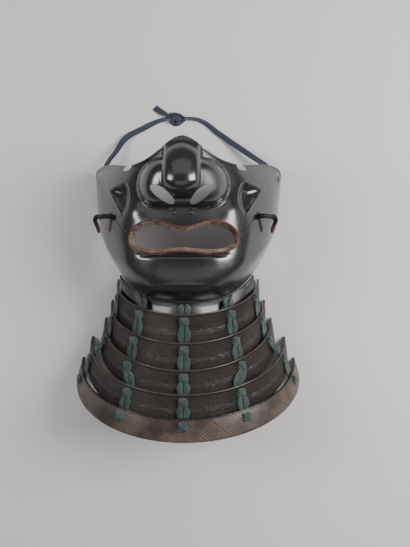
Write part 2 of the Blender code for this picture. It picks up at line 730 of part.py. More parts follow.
def lame_edges(index, angle):
    """Points of the inner face's upper and lower edge of a lame."""
    lame = LAMES[index]
    start = RIBS[-1].middle_y * MASK_LENGTH
    drop = lame.visible * GUARD_LENGTH + (LAME_LAP if index < len(LAMES) - 1 else 0.0)
    span = lame.half_span * GUARD_HALF_SPAN - LAME_WALL
    tip_y = start - lame.tip_y * GUARD_LENGTH
    apex_y = start - lame.apex_y * GUARD_LENGTH
    apex_z = COLLAR_TOP_Z + COLLAR_RISE + COLLAR_WALL + (index + 1) * LAME_STEP - LAME_WALL
    upper = arch_point(span, tip_y, apex_y, lame.tip_z, apex_z, angle)
    spread = span + lame.flare * GUARD_HALF_SPAN
    lower = arch_point(spread, tip_y - TIP_SHARE * drop, apex_y - drop, lame.tip_z, apex_z, angle)
    return upper, lower


def strip_frame(upper, lower):
    """The outward normals of a strip between two edges."""
    along = np.gradient(upper, axis=0) + np.gradient(lower, axis=0)
    normal = np.cross(along, lower - upper)
    return normal / np.linalg.norm(normal, axis=-1, keepdims=True)


def strip_rings(upper, lower, profile, floor=None):
    """Rings of a strip: profile holds (depth down the strip, height off its inner face)."""
    normal = strip_frame(upper, lower)
    down = lower - upper
    length = np.linalg.norm(down, axis=-1, keepdims=True)
    rings = []
    for depth, height in profile:
        rings.append(upper + down * (depth / length if depth is not None else 1.0) + normal * height)
    rings = np.stack(rings, axis=1)
    if floor is not None:
        rings[[0, -1], :, 2] = floor
    return rings


def build_lames():
    angles = np.linspace(0, np.pi, LAME_SEGMENTS + 1)
    proud = LAME_WALL + LAME_RIM_PROUD
    profile = (
        (0.0, 0.0),
        (0.0, proud),
        (LAME_RIM_WIDTH, proud),
        (LAME_RIM_WIDTH + LAME_RIM_PROUD, LAME_WALL),
        (None, LAME_WALL),
        (None, 0.0),
    )
    for index, lame in enumerate(LAMES):
        upper, lower = lame_edges(index, angles)
        rings = strip_rings(upper, lower, profile, lame.tip_z)
        finish = FRET_LEATHER if index == len(LAMES) - 1 else GRAINED_LEATHER
        add_object(f"lame_{index + 1}", mesh_of_rings("lame", rings), finish)


def collar_edges(angle):
    """The edges of the collar's inner face: the upper one meets the jaw, the lower one is inside lame 1."""
    share = np.cos(angle)
    upper = jaw_edge(share)
    along = np.gradient(upper[:, :2], axis=0)
    out = np.stack([along[:, 1], -along[:, 0]], axis=1)
    out /= np.linalg.norm(out, axis=1, keepdims=True)
    upper[:, :2] -= SEAM_GAP * out
    lame_upper, lame_lower = lame_edges(0, angle)
    normal = strip_frame(lame_upper, lame_lower)
    lower = lame_upper + (lame_lower - lame_upper) * COLLAR_REACH - (LACE_ROOM + COLLAR_WALL) * normal
    return upper, lower


def build_collar():
    angles = np.linspace(COLLAR_START, np.pi - COLLAR_START, LAME_SEGMENTS + 1)
    upper, lower = collar_edges(angles)
    profile = ((0.0, 0.0), (0.0, COLLAR_WALL), (None, COLLAR_WALL), (None, 0.0))
    add_object("collar", mesh_of_rings("collar", strip_rings(upper, lower, profile)), LACQUER)


Seat = collections.namedtuple("Seat", "point across down out")


def seat_on(edges, angle, depth, height):
    """A place on a strip, this far down it and this high off its inner face, with the directions there."""
    near = angle + np.array([-0.02, 0.0, 0.02])
    upper, lower = edges(near)
    out = strip_frame(upper, lower)[1]
    down = lower[1] - upper[1]
    down = down / np.linalg.norm(down)
    point = upper[1] + down * depth + out * height
    return Seat(point, np.cross(out, down), down, out)


def band_ring(point, across, out, width, thickness, groove):
    """Seven points round a flat cord; groove is how deep the line between its two strands is."""
    top = ((-0.5, 0.0), (-0.27, 0.5), (0.0, 0.5 - groove), (0.27, 0.5), (0.5, 0.0))
    shares = top + ((0.27, -0.5), (-0.27, -0.5))
    return [point + across * width * u + out * thickness * v for u, v in shares]


def lace_rings(index, angle, next_angle, with_knot):
    """The knot on strip index, where 0 is the collar, and the two cords that go behind the next lame."""

    def strip(number):
        return collar_edges if number == 0 else lambda near: lame_edges(number - 1, near)

    wall = COLLAR_WALL if index == 0 else LAME_WALL
    rings = []
    if with_knot:
        for depth, width, thickness in KNOT_STATIONS:
            seat = seat_on(strip(index), angle, depth, wall + GAP + thickness / 2)
            rings.append(band_ring(seat.point, seat.across, seat.out, width, thickness, 0.0))
    if index == len(LAMES):
        return rings
    thick = LACE_THICKNESS + LACE_BULGE
    start_depth = KNOT_END + LACE_START if with_knot else COLLAR_LACE_DEPTH
    start = seat_on(strip(index), angle, start_depth, wall + GAP + thick / 2)
    behind = -GAP - LACE_SLACK / 2 - LACE_THICKNESS / 2
    rim = seat_on(strip(index + 1), next_angle, -LACE_DIVE, behind)
    end = seat_on(strip(index + 1), next_angle, LACE_TUCK, behind)
    middle = start.point + LACE_FULL * (rim.point - start.point)
    for point, seat, thickness in (
        (start.point, start, thick),
        (middle, start, thick),
        (rim.point, rim, LACE_THICKNESS),
        (end.point, end, LACE_THICKNESS),
    ):
        rings.append(band_ring(point, seat.across, seat.out, LACE_PAIR_WIDTH, thickness, 0.35))
    return rings


def column_angles(lame):
    return {
        "far_right": math.acos(lame.far_column),
        "mid_right": math.acos(lame.mid_column),
        "middle": math.pi / 2,
        "mid_left": math.pi - math.acos(lame.mid_column),
        "far_left": math.pi - math.acos(lame.far_column),
    }


def build_lacing():
    angles = [column_angles(lame) for lame in LAMES[:1] + LAMES + LAMES[-1:]]
    for index in range(len(LAMES) + 1):
        for column, angle in angles[index].items():
            if index == 0 and column.startswith("far"):
                continue
            rings = lace_rings(index, angle, angles[index + 1][column], index > 0)
            name = f"lace_{index}_{column}"
            add_object(name, mesh_of_rings(name, rings), SILK)


def ribbon(name, route, turn_at_start=0.0):
    """A flat band that follows its route and turns from its edge, at the start, to face up."""
    points = [Vector(p) for p in route]
    rings = []
    for i, point in enumerate(points):
        along = points[min(i + 1, len(points) - 1)] - points[max(i - 1, 0)]
        turn = turn_at_start * max(1 - i / RIBBON_FLAT_FROM, 0) ** 1.5
        flat = along.cross(Vector((0, 0, 1))).normalized()
        across = Quaternion(along.normalized(), turn) @ flat
        out = across.cross(along).normalized()
        half = 0.5 * RIBBON_WIDTH * across
        lift = 0.5 * RIBBON_THICKNESS * out
        rings.append([point - half - lift, point + half - lift, point + half + lift, point - half + lift])
    add_object(name, mesh_of_rings(name, rings), RIBBON_SATIN, smooth=False)


def build_ribbon():
    ribbon("ribbon_left", RIBBON_LEFT, -RIBBON_TURN)
    ribbon("ribbon_right", RIBBON_RIGHT, RIBBON_TURN)
    ribbon("ribbon_tail", RIBBON_TAIL)
    mesh = bpy.data.meshes.new("ribbon_knot")
    work = bmesh.new()
    bmesh.ops.create_uvsphere(work, u_segments=10, v_segments=6, radius=1.0)
    bmesh.ops.scale(work, vec=RIBBON_KNOT_HALF, verts=work.verts)
    work.to_mesh(mesh)
    work.free()
    knot = add_object("ribbon_knot", mesh, RIBBON_SATIN)
    knot.location = RIBBON_KNOT


def build_all():
    build_mask()
    build_mouth_rim()
    build_rivets()
    build_hooks()
    build_lames()
    build_collar()
    build_lacing()
    build_ribbon()
    centre_on_footprint()


def centre_on_footprint():
    """Moves the root so that the origin is the bottom centre of everything but the ribbon."""
    bpy.context.view_layer.update()
    graph = bpy.context.evaluated_depsgraph_get()
    places = []
    for obj in PARTS.objects:
        if obj.type in ("MESH", "CURVE") and not obj.name.startswith("ribbon"):
            shown = obj.evaluated_get(graph)
            places += [shown.matrix_world @ vertex.co for vertex in shown.to_mesh().vertices]
            shown.to_mesh_clear()
    places = np.array(places)
    low = places.min(axis=0)
    middle = (low + places.max(axis=0)) / 2
    ROOT.location = (-middle[0], -middle[1], -low[2])
    bpy.context.view_layer.update()


empty_scene()
UNCUT_PLATES = []
PARTS = collection("samurai_face_guard")
CUTTERS = collection("cutters")
ROOT = bpy.data.objects.new("footprint_middle", None)
PARTS.objects.link(ROOT)
LACQUER = material("black_lacquer", (0.012, 0.011, 0.012), 0.16, 0.25)
RIM_LACQUER = material("red_and_gold_lacquer", (0.42, 0.22, 0.13), 0.35, 0.2)
HOOK_IRON = material("hook_iron", (0.02, 0.017, 0.015), 0.4, 0.6)
GRAINED_LEATHER = material("grained_leather", (0.075, 0.062, 0.055), 0.4)
FRET_LEATHER = material("fret_leather", (0.10, 0.065, 0.045), 0.45)
SILK = material("green_silk", (0.055, 0.13, 0.115), 0.8)
RIBBON_SATIN = material("blue_satin", (0.045, 0.06, 0.10), 0.45)
build_all()
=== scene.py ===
# Samurai face guard: the black lacquered half mask, its laced throat guard and its ribbon, on a pale surface.
# Metres. The mask is shaped round the middle of the face, as in the part's source, and SHIFT carries each
# piece from there to the middle of the footprint.

import collections
import math

import bmesh
import bpy
import numpy as np
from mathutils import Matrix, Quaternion, Vector
from mathutils.bvhtree import BVHTree


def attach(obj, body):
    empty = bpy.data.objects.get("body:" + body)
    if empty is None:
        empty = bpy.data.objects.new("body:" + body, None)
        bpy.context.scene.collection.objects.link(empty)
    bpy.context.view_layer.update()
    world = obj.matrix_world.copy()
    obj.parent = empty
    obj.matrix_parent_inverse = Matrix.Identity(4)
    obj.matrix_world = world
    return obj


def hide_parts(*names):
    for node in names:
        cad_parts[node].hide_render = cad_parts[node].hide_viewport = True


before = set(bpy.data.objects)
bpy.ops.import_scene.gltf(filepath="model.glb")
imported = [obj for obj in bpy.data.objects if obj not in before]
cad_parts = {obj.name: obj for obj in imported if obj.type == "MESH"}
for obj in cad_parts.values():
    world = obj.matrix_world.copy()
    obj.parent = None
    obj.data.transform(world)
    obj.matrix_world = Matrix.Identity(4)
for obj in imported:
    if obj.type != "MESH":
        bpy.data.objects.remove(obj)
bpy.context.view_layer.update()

# Mask. The sizes are the part's own, apart from a crisper POCKET_RIDGE, RIDGE_WIDTH, CHEEK_HOLLOW, LEAF_STEP,
# LEAF_SLOPE, GROOVE_HALF_WIDTH and BLEND. STEEPEST limits how thick the wall gets where the face is steep.
MASK_HALF_WIDTH = 0.0855
MASK_LENGTH = 0.134
MASK_HEIGHT = 0.090
MASK_WALL = 0.0016
STEEPEST = 0.34
SEAM_STEP = 0.0009
STEP_FADE = 0.008
NOSE_HEIGHT = 0.029
WING_HEIGHT = 0.0215
WING_POWER = 0.47
BAND_HALF_WIDTH = 0.0153
BAND_EDGE_FALL = 0.006
BAND_EDGE_POWER = 14
ROLL_RADIUS = 0.0193
BRIDGE_RADIUS = 0.027
DOME_CURVE = 0.30
POCKET_RIDGE = 0.0016
CHEEK_HOLLOW = 0.0082
LEAF_STEP = 0.0024
LEAF_SLOPE = 0.0105
MUZZLE_BULGE = 0.0028
LIP_GROOVE = 0.0030
BLEND = 0.0013
SEAM_STEP_LENGTH = 0.012
RIDGE_RING = 1.07
RIDGE_WIDTH = 0.10
DIP_TOP = 0.500
DIP_LENGTH = 0.060
DIP_SHARE = 0.55
BROW_DIP_TOP = 0.560
BROW_DIP_LENGTH = 0.090
LEAF_EDGE_BEND = 0.058
LEAF_HALF_LENGTH = 0.110
GROOVE_HALF_WIDTH = 0.0130
MOUTH_HALF_LENGTH = 0.0452
MOUTH_UP = 0.0105
MOUTH_UP_LOBE = 0.0168
MOUTH_DOWN = 0.0108
MOUTH_DOWN_LOBE = 0.0126
RIM_WIDTH = 0.0044
RIM_DROP = 0.0030
RIM_THICKNESS = 0.0012
RIM_PROUD = 0.0006
NOSTRIL_HALF_LENGTH = 0.0112
NOSTRIL_HALF_WIDTH = 0.0041
NOSTRIL_SLANT = math.radians(36)
EYELET_RADIUS = 0.0021
EYELET_SPACING = 0.0044
TIE_SLOT_WIDTH = 0.0022
TIE_SLOT_LENGTH = 0.0090
RIVET_RADIUS = 0.0015
HOOK_RADIUS = 0.0019
HOOK_LIFT = 0.0016
HOOK_SHOULDER = (0.0037, 0.0041)
HOOK_OUT = 0.0150
HOOK_SINK = 0.0068
HOOK_DOWN = 0.0132
HOOK_TIP_IN = 0.0033
HOOK_TIP_SINK = 0.0038

# Throat guard, as in the part's source
GUARD_HALF_SPAN = 0.0970
GUARD_LENGTH = 0.1122
COLLAR_RISE = 0.004
COLLAR_HALF_SPAN = 0.0600
COLLAR_WALL = 0.0014
COLLAR_REACH = 0.62
COLLAR_START = math.radians(16)
LAME_WALL = 0.0018
LAME_LAP = 0.0060
TIP_SHARE = 0.85
LACE_THICKNESS = 0.0017
GAP = 0.0003
LACE_SLACK = 0.0006
LACE_ROOM = LACE_THICKNESS + 2 * GAP + LACE_SLACK
LAME_STEP = LAME_WALL + LACE_ROOM
LACE_TUCK = 0.0045
KNOT_TOP = 0.0030
KNOT_END = 0.0106
COLLAR_LACE_DEPTH = 0.0030

# Rims and fret of the lames, which only this scene shows: depths below the rim, among them the band of
# painted shade under it, and the fret's repeat
RIM_BAND = 0.0010
RIM_BAND_PROUD = 0.00035
BAND_FADE = (0.0009, 0.0013)
RIM_SHADE_FADE = (0.0026, 0.0016)
FRET_TILE = 0.0148

# Silk knots and the cord pairs between them: half sizes, or width and height
KNOT_HALF = (0.0043, 0.0041)
KNOT_RISE = 0.0026
PLAIT_CORD = (0.0031, 0.0013)
PLAIT_CROSS = 0.0003
LEAF_CORD = (0.0054, 0.0023)
LEAF_START = 0.0006
RIM_PASS = 0.0014

# Ribbon: it has the part's width and turn, and it is thinner here than the solid
RIBBON_WIDTH = 0.0050
RIBBON_THICKNESS = 0.0005
RIBBON_TURN = math.radians(56)
RIBBON_LIFT = 0.0002
SATIN_RIB = 0.00045

# Low relief that only this scene shows
CREASE_HEIGHT = 0.0007
CREASE_HALF_WIDTH = 0.0011
CREASE_FADE = 0.006
BORDER_WIDTH = 0.0040
BORDER_RISE = 0.0012
BORDER_HOLLOW = 0.0009
CHIN_RIDGE = 0.0007
CHIN_LINE_BEND = 0.006

# How fine the meshes are
MASK_HALF_COLUMNS = 150
FACE_ROWS = 104
JAW_ROWS = 76
RIM_STEPS = 220
LAME_STEPS = 190
CORD_SIDES = 10

# The mask's ribs, from above the brow to the edge under the chin, in shares of the mask's sizes
Rib = collections.namedtuple("Rib", "middle_y end_y middle_z end_z half_width bow tent")
RIBS = (
    Rib(0.851, 0.739, 1.040, 0.000, 1.000, 2.0, 1.00),
    Rib(0.709, 0.672, 1.085, 0.000, 0.998, 2.0, 0.85),
    Rib(0.560, 0.567, 0.978, 0.000, 0.986, 2.0, 0.35),
    Rib(0.410, 0.470, 0.967, 0.000, 0.971, 2.2, 0.05),
    Rib(0.224, 0.343, 1.000, 0.000, 0.953, 2.4, 0.00),
    Rib(0.104, 0.276, 0.985, 0.044, 0.924, 2.6, 0.00),
    Rib(0.015, 0.246, 0.969, 0.089, 0.901, 2.7, 0.00),
    Rib(-0.067, 0.228, 0.930, 0.117, 0.883, 3.0, 0.10),
    Rib(-0.127, 0.219, 0.825, 0.128, 0.876, 3.15, 0.50),
    Rib(-0.174, 0.213, 0.644, 0.133, 0.871, 3.3, 1.00),
)
ARCH_BOW = 2.7
ARCH_POWER = 0.62
TENT_POWER = 1.45
TENT_ROUNDING = 0.15
COLLAR_TOP_Z = RIBS[-1].middle_z * MASK_HEIGHT

Place = collections.namedtuple("Place", "across up")
TOP_EDGE = (
    Place(0.000, 0.811),
    Place(0.058, 0.801),
    Place(0.117, 0.780),
    Place(0.205, 0.743),
    Place(0.281, 0.712),
    Place(0.363, 0.687),
    Place(0.444, 0.674),
    Place(0.538, 0.669),
    Place(0.632, 0.681),
    Place(0.725, 0.700),
    Place(0.819, 0.713),
    Place(0.900, 0.716),
    Place(0.953, 0.709),
    Place(0.986, 0.687),
    Place(1.000, 0.657),
)
SEAM = (
    Place(0.000, 0.205),
    Place(0.440, 0.205),
    Place(0.538, 0.250),
    Place(0.596, 0.274),
    Place(0.655, 0.322),
    Place(0.708, 0.380),
    Place(0.735, 0.372),
    Place(0.960, 0.343),
    Place(1.000, 0.340),
)
MOUTH_MIDDLE = Place(0.000, 0.2045)
NOSE_TIP = Place(0.000, 0.540)
POCKET = Place(0.140, 0.534)
NOSTRIL = Place(0.181, 0.463)
MUZZLE = Place(0.470, 0.385)
POCKET_REACH = Place(0.287, 0.138)
MUZZLE_REACH = Place(0.105, 0.075)
TIP_REACH = Place(0.211, 0.102)
LEAF_EDGE = Place(0.520, 0.470)
LEAF_TIP = Place(0.582, 0.347)
LEAF_OUTER = Place(0.766, 0.530)
LEAF_TOP = Place(0.561, 0.567)
GROOVE_END = Place(0.460, 0.1120)
EYELET = Place(0.555, 0.655)
TIE_SLOT = Place(0.955, 0.645)
RIVET = Place(0.078, 0.360)
HOOK_FOOT = Place(0.722, 0.356)
CHIN_LINE = Place(0.400, -0.068)

Lame = collections.namedtuple("Lame", "half_span tip_y apex_y visible flare tip_z mid_column far_column")
LAMES = (
    Lame(0.665, -0.163, 0.092, 0.206, 0.010, 0.0022, 0.595, 0.935),
    Lame(0.722, 0.006, 0.298, 0.193, 0.012, 0.0018, 0.605, 0.940),
    Lame(0.784, 0.153, 0.491, 0.168, 0.035, 0.0014, 0.615, 0.945),
    Lame(0.912, 0.307, 0.659, 0.165, 0.030, 0.0008, 0.525, 0.960),
    Lame(1.000, 0.479, 0.824, 0.176, 0.050, 0.0000, 0.523, 0.962),
)

# The ribbon's routes, given round the middle of the face
RIBBON_LEFT = (
    (-0.0791, 0.0858, 0.0080),
    (-0.0780, 0.0890, 0.0088),
    (-0.0765, 0.0930, 0.0098),
    (-0.0747, 0.0972, 0.0108),
    (-0.0724, 0.1006, 0.0112),
    (-0.0701, 0.1044, 0.0106),
    (-0.0672, 0.1084, 0.0090),
    (-0.0646, 0.1126, 0.0072),
    (-0.0622, 0.1172, 0.0054),
    (-0.0594, 0.1218, 0.0038),
    (-0.0554, 0.1259, 0.0024),
    (-0.0508, 0.1288, 0.0014),
    (-0.0440, 0.1323, 0.0009),
    (-0.0370, 0.1359, 0.0008),
    (-0.0305, 0.1390, 0.0008),
    (-0.0250, 0.1409, 0.0010),
    (-0.0199, 0.1417, 0.0018),
)
RIBBON_RIGHT = (
    (0.0791, 0.0858, 0.0080),
    (0.0780, 0.0886, 0.0092),
    (0.0758, 0.0925, 0.0108),
    (0.0725, 0.0958, 0.0118),
    (0.0690, 0.0984, 0.0120),
    (0.0640, 0.1018, 0.0110),
    (0.0564, 0.1072, 0.0088),
    (0.0480, 0.1134, 0.0062),
    (0.0401, 0.1193, 0.0038),
    (0.0325, 0.1250, 0.0020),
    (0.0257, 0.1300, 0.0010),
    (0.0200, 0.1349, 0.0008),
    (0.0145, 0.1388, 0.0008),
    (0.0100, 0.1409, 0.0008),
    (0.0050, 0.1420, 0.0010),
    (0.0000, 0.1423, 0.0014),
    (-0.0033, 0.1422, 0.0020),
)
RIBBON_TAIL = (
    (-0.0192, 0.1454, 0.0030),
    (-0.0226, 0.1472, 0.0026),
    (-0.0256, 0.1490, 0.0018),
    (-0.0284, 0.1510, 0.0010),
    (-0.0306, 0.1528, 0.0006),
)
RIBBON_KNOT = (-0.0116, 0.1418, 0.0029)

# Camera: straight above the mask and a little to its right, as far off as the photo was taken
CAMERA_PLACE = (0.0329, 0.0, 0.650)
CAMERA_TARGET_X = 0.0154
CAMERA_VIEW_ANGLE = math.radians(42.3)

FOOT_LINE = (RIBS[-1].middle_y * MASK_LENGTH) - GUARD_LENGTH
HEAD_LINE = TOP_EDGE[0].up * MASK_LENGTH
SHIFT = np.array([0.0, -(FOOT_LINE + HEAD_LINE) / 2, 0.0])


def smooth_curve(places, values):
    """A natural cubic spline through the points, as a function that takes an array."""
    places = np.array(places, float)
    values = np.array(values, float)
    steps = np.diff(places)
    slopes = np.diff(values) / steps
    count = len(places)
    system = np.eye(count)
    wanted = np.zeros(count)
    for i in range(1, count - 1):
        system[i, i - 1 : i + 2] = steps[i - 1], 2 * (steps[i - 1] + steps[i]), steps[i]
        wanted[i] = 6 * (slopes[i] - slopes[i - 1])
    bends = np.linalg.solve(system, wanted)

    def at(x):
        x = np.asarray(x, float)
        i = np.clip(np.searchsorted(places, x) - 1, 0, count - 2)
        h = steps[i]
        a = (places[i + 1] - x) / h
        b = 1 - a
        bend = ((a**3 - a) * bends[i] + (b**3 - b) * bends[i + 1]) * h * h / 6
        return a * values[i] + b * values[i + 1] + bend

    return at


def smoothstep(x):
    x = np.clip(x, 0.0, 1.0)
    return x * x * (3 - 2 * x)


def straight_curve(rows):
    across = [row.across * MASK_HALF_WIDTH for row in rows]
    up = [row.up * MASK_LENGTH for row in rows]
    return lambda x: np.interp(np.abs(x), across, up)


def point_of(place, side=1):
    return side * place.across * MASK_HALF_WIDTH, place.up * MASK_LENGTH


RIB_LENGTH = RIBS[0].middle_y - RIBS[-1].middle_y
RIB_PLACES = [(RIBS[0].middle_y - rib.middle_y) / RIB_LENGTH for rib in RIBS]
RIB_CURVES = {name: smooth_curve(RIB_PLACES, [getattr(rib, name) for rib in RIBS]) for name in Rib._fields}
TOP_SPLINE = smooth_curve([p.across for p in TOP_EDGE], [p.up for p in TOP_EDGE])
SEAM_CURVE = straight_curve(SEAM)


def top_curve(x):
    return TOP_SPLINE(np.abs(x) / MASK_HALF_WIDTH) * MASK_LENGTH


def rib_point(s, t):
    """The bare mask without relief: s runs from -1 to 1 across, and t from 0 at the brow to 1 at the jaw."""
    rib = {name: curve(t) for name, curve in RIB_CURVES.items()}
    rib["end_z"] = np.maximum(rib["end_z"], 0.0)
    r = np.abs(s)
    x = rib["half_width"] * MASK_HALF_WIDTH * s
    y = (rib["middle_y"] + (rib["end_y"] - rib["middle_y"]) * r ** rib["bow"]) * MASK_LENGTH
    arch = 1 - np.maximum(1 - r**ARCH_BOW, 0) ** ARCH_POWER
    low = TENT_ROUNDING**TENT_POWER
    high = (1 + TENT_ROUNDING**2) ** (TENT_POWER / 2)
    tent = ((r * r + TENT_ROUNDING**2) ** (TENT_POWER / 2) - low) / (high - low)
    drop = (1 - rib["tent"]) * arch + rib["tent"] * tent
    z = (rib["middle_z"] - (rib["middle_z"] - rib["end_z"]) * drop) * MASK_HEIGHT
    return x, y, z


def soft_max(forms, radius):
    top = np.maximum.reduce(forms)
    return top + radius * np.log(sum(np.exp((form - top) / radius) for form in forms))


def mouth_outline(angle, margin):
    """A point of the mouth's outline, grown outwards by margin."""
    c = np.cos(angle)
    half = MOUTH_HALF_LENGTH + margin
    x = half * np.sign(c) * np.abs(c) ** 0.62
    share = np.abs(x) / half
    lobe = smoothstep(share / 0.62)
    up = MOUTH_UP + (MOUTH_UP_LOBE - MOUTH_UP) * lobe + margin
    down = MOUTH_DOWN + (MOUTH_DOWN_LOBE - MOUTH_DOWN) * lobe + margin
    closing = np.maximum(1 - share**4.2, 0) ** 0.46
    y = np.where(np.sin(angle) >= 0, up, -down) * closing
    return x, MOUTH_MIDDLE.up * MASK_LENGTH + y


def wing_relief(across, up):
    """The nose's broad dome with the crescent ridge round its foot. It sinks under the nose's middle."""
    beside = np.maximum(across - POCKET.across, 0) / POCKET_REACH.across
    ring = beside**3 + ((up - POCKET.up) / POCKET_REACH.up) ** 2
    dome = WING_HEIGHT * np.maximum(1 - ring, 0) ** WING_POWER
    between = 1 - smoothstep((across - 0.4 * NOSTRIL.across) / (0.6 * NOSTRIL.across))
    below = smoothstep((DIP_TOP - up) / DIP_LENGTH)
    above = smoothstep((up - BROW_DIP_TOP) / BROW_DIP_LENGTH)
    ridge = np.exp(-(((ring - RIDGE_RING) / RIDGE_WIDTH) ** 2)) * smoothstep((across - 0.05) / 0.1)
    return dome * (1 - between * (DIP_SHARE * below + above)) + POCKET_RIDGE * ridge


def left_of(across, up, start, end):
    """How many metres a point lies to the left of the line from one Place to another."""
    start_x, start_y = point_of(start)
    end_x, end_y = point_of(end)
    length = math.hypot(end_x - start_x, end_y - start_y)
    along_x = (end_x - start_x) / length
    along_y = (end_y - start_y) / length
    return along_x * (up * MASK_LENGTH - start_y) - along_y * (across * MASK_HALF_WIDTH - start_x)


def cheek_relief(across, up):
    """The leaf-shaped hollow in the cheek, with a thin raised crease along its outer edges."""
    crescent = LEAF_EDGE.across + LEAF_EDGE_BEND * ((up - LEAF_EDGE.up) / LEAF_HALF_LENGTH) ** 2
    inside = smoothstep((across - crescent) * MASK_HALF_WIDTH / LEAF_STEP)
    lower = left_of(across, up, LEAF_TIP, LEAF_OUTER)
    upper = left_of(across, up, LEAF_OUTER, LEAF_TOP)
    depth = inside
    for reach in (lower, upper):
        share = np.clip(reach / LEAF_SLOPE, 0, 1)
        depth = depth * share * (2 - share)
    crease = np.exp(-((lower / CREASE_HALF_WIDTH) ** 2)) * inside * smoothstep(upper / CREASE_FADE + 1)
    return CREASE_HEIGHT * crease - CHEEK_HOLLOW * depth


def lip_relief(across, up):
    """The swelling over the mouth's corner and the groove under the lower lip."""
    beside = (across - MUZZLE.across) / MUZZLE_REACH.across
    bulge = np.exp(-(beside**2) - ((up - MUZZLE.up) / MUZZLE_REACH.up) ** 2)
    groove = np.exp(-(((up - GROOVE_END.up) / GROOVE_HALF_WIDTH) ** 2))
    groove = groove * (1 - smoothstep((across - 0.65 * GROOVE_END.across) / (0.35 * GROOVE_END.across)))
    return MUZZLE_BULGE * bulge - LIP_GROOVE * groove


def dome_fall(q):
    """How far a dome has fallen at the squared share q of its reach: 0 in its middle and 1 at its reach."""
    return DOME_CURVE * q + (1 - DOME_CURVE) * q**3


def nose_middle(across, up):
    """The height of the rolled band from the brow to the nose's tip, which falls away under the tip."""
    x = across * MASK_HALF_WIDTH
    rise = (up - NOSE_TIP.up) * MASK_LENGTH
    roll = x**2 / (2 * ROLL_RADIUS) + x**4 / (8 * ROLL_RADIUS**3)
    roll = roll + BAND_EDGE_FALL * (x / BAND_HALF_WIDTH) ** BAND_EDGE_POWER
    corner = (across / TIP_REACH.across) ** 2
    under = dome_fall(corner + (rise / (TIP_REACH.up * MASK_LENGTH)) ** 2) - dome_fall(corner)
    fall = np.where(rise > 0, rise**2 / (2 * BRIDGE_RADIUS), NOSE_HEIGHT * under)
    return RIBS[2].middle_z * MASK_HEIGHT + NOSE_HEIGHT - roll - fall


def border_relief(x, y):
    """The mask's upper border: it stands out along its edge, with a hollow under it on the bridge."""
    below = top_curve(x) - y
    lip = 1 - smoothstep(below / BORDER_WIDTH)
    on_bridge = 1 - smoothstep((np.abs(x) - 0.6 * BAND_HALF_WIDTH) / BAND_HALF_WIDTH)
    hollow = np.exp(-(((below - 1.7 * BORDER_WIDTH) / (0.6 * BORDER_WIDTH)) ** 2)) * on_bridge
    return BORDER_RISE * lip - BORDER_HOLLOW * hollow


def chin_relief(across, up):
    """The low ridge across the chin."""
    line = CHIN_LINE.up - CHIN_LINE_BEND * (across / CHIN_LINE.across) ** 2
    ridge = np.exp(-(((up - line) * MASK_LENGTH / CREASE_HALF_WIDTH) ** 2))
    return CHIN_RIDGE * ridge * (1 - smoothstep((across / CHIN_LINE.across - 0.75) / 0.25))


def relief(x, y, base, is_jaw):
    """The height of the mask's outer face at (x, y), where its ribs alone give base."""
    across = np.abs(x) / MASK_HALF_WIDTH
    up = y / MASK_LENGTH
    skin = base + wing_relief(across, up) + cheek_relief(across, up) + lip_relief(across, up)
    skin = skin + chin_relief(across, up)
    if is_jaw:
        near_seam = np.exp(-(((SEAM_CURVE(x) - y) / SEAM_STEP_LENGTH) ** 2))
        skin = skin - SEAM_STEP * near_seam * smoothstep(base / STEP_FADE)
    return soft_max([skin, nose_middle(across, up)], BLEND) + border_relief(x, y)


def settle_rows(s, curve):
    """The t at which each column meets a curve y = curve(x)."""
    low = np.zeros_like(s)
    high = np.ones_like(s)
    for _ in range(40):
        t = (low + high) / 2
        x, y, _ = rib_point(s, t)
        above = y > curve(x)
        low = np.where(above, t, low)
        high = np.where(above, high, t)
    return (low + high) / 2


def plate_point(s, t, is_jaw):
    x, y, base = rib_point(s, t)
    return np.stack([x, y, relief(x, y, base, is_jaw)], axis=-1)


def rib_normal(s, t):
    """The outward normal of the bare mask."""
    step = 1e-3
    edge = 1 - 2 * step
    s = np.clip(s, -edge, edge)
    t = np.clip(t, step, 1 - step)
    along_s = np.stack(rib_point(s + step, t), -1) - np.stack(rib_point(s - step, t), -1)
    along_t = np.stack(rib_point(s, t + step), -1) - np.stack(rib_point(s, t - step), -1)
    normal = np.cross(along_t, along_s)
    return normal / np.linalg.norm(normal, axis=-1, keepdims=True)


# Making meshes


def deselect_all():
    bpy.ops.object.select_all(action="DESELECT")


def make_active(obj):
    deselect_all()
    obj.select_set(True)
    bpy.context.view_layer.objects.active = obj


def new_object(name, points, faces, flow=None):
    """A mesh object of points round the middle of the face. flow holds a pattern place for each point."""
    mesh = bpy.data.meshes.new(name)
    mesh.from_pydata((np.asarray(points, float) + SHIFT).tolist(), [], faces)
    if flow is not None:
        layer = mesh.attributes.new("flow", "FLOAT_VECTOR", "POINT")
        layer.data.foreach_set("vector", np.asarray(flow, np.float32).ravel())
    obj = bpy.data.objects.new(name, mesh)
    bpy.context.scene.collection.objects.link(obj)
    return obj


def ring_faces(rings, size, first=0, closed_path=False):
    """Faces of a skin over rings of points, which start at the point numbered first."""
    faces = []
    for i in range(rings if closed_path else rings - 1):
        k = (i + 1) % rings
        here = first + i * size
        there = first + k * size
        for j in range(size):
            m = (j + 1) % size
            faces.append([here + j, here + m, there + m, there + j])
    if not closed_path:
        faces.append([first + j for j in reversed(range(size))])
        faces.append([first + (rings - 1) * size + j for j in range(size)])
    return faces


def skin_object(name, skins, closed_path=False):
    """One object from several skins, each a pair of rings of points and their pattern places."""
    points = []
    faces = []
    flows = []
    for rings, flow in skins:
        count, size = rings.shape[:2]
        faces += ring_faces(count, size, len(points), closed_path)
        points += rings.reshape(-1, 3).tolist()
        flows += flow.reshape(-1, 3).tolist()
    obj = new_object(name, points, faces, flows)
    face_outwards(obj)
    return obj


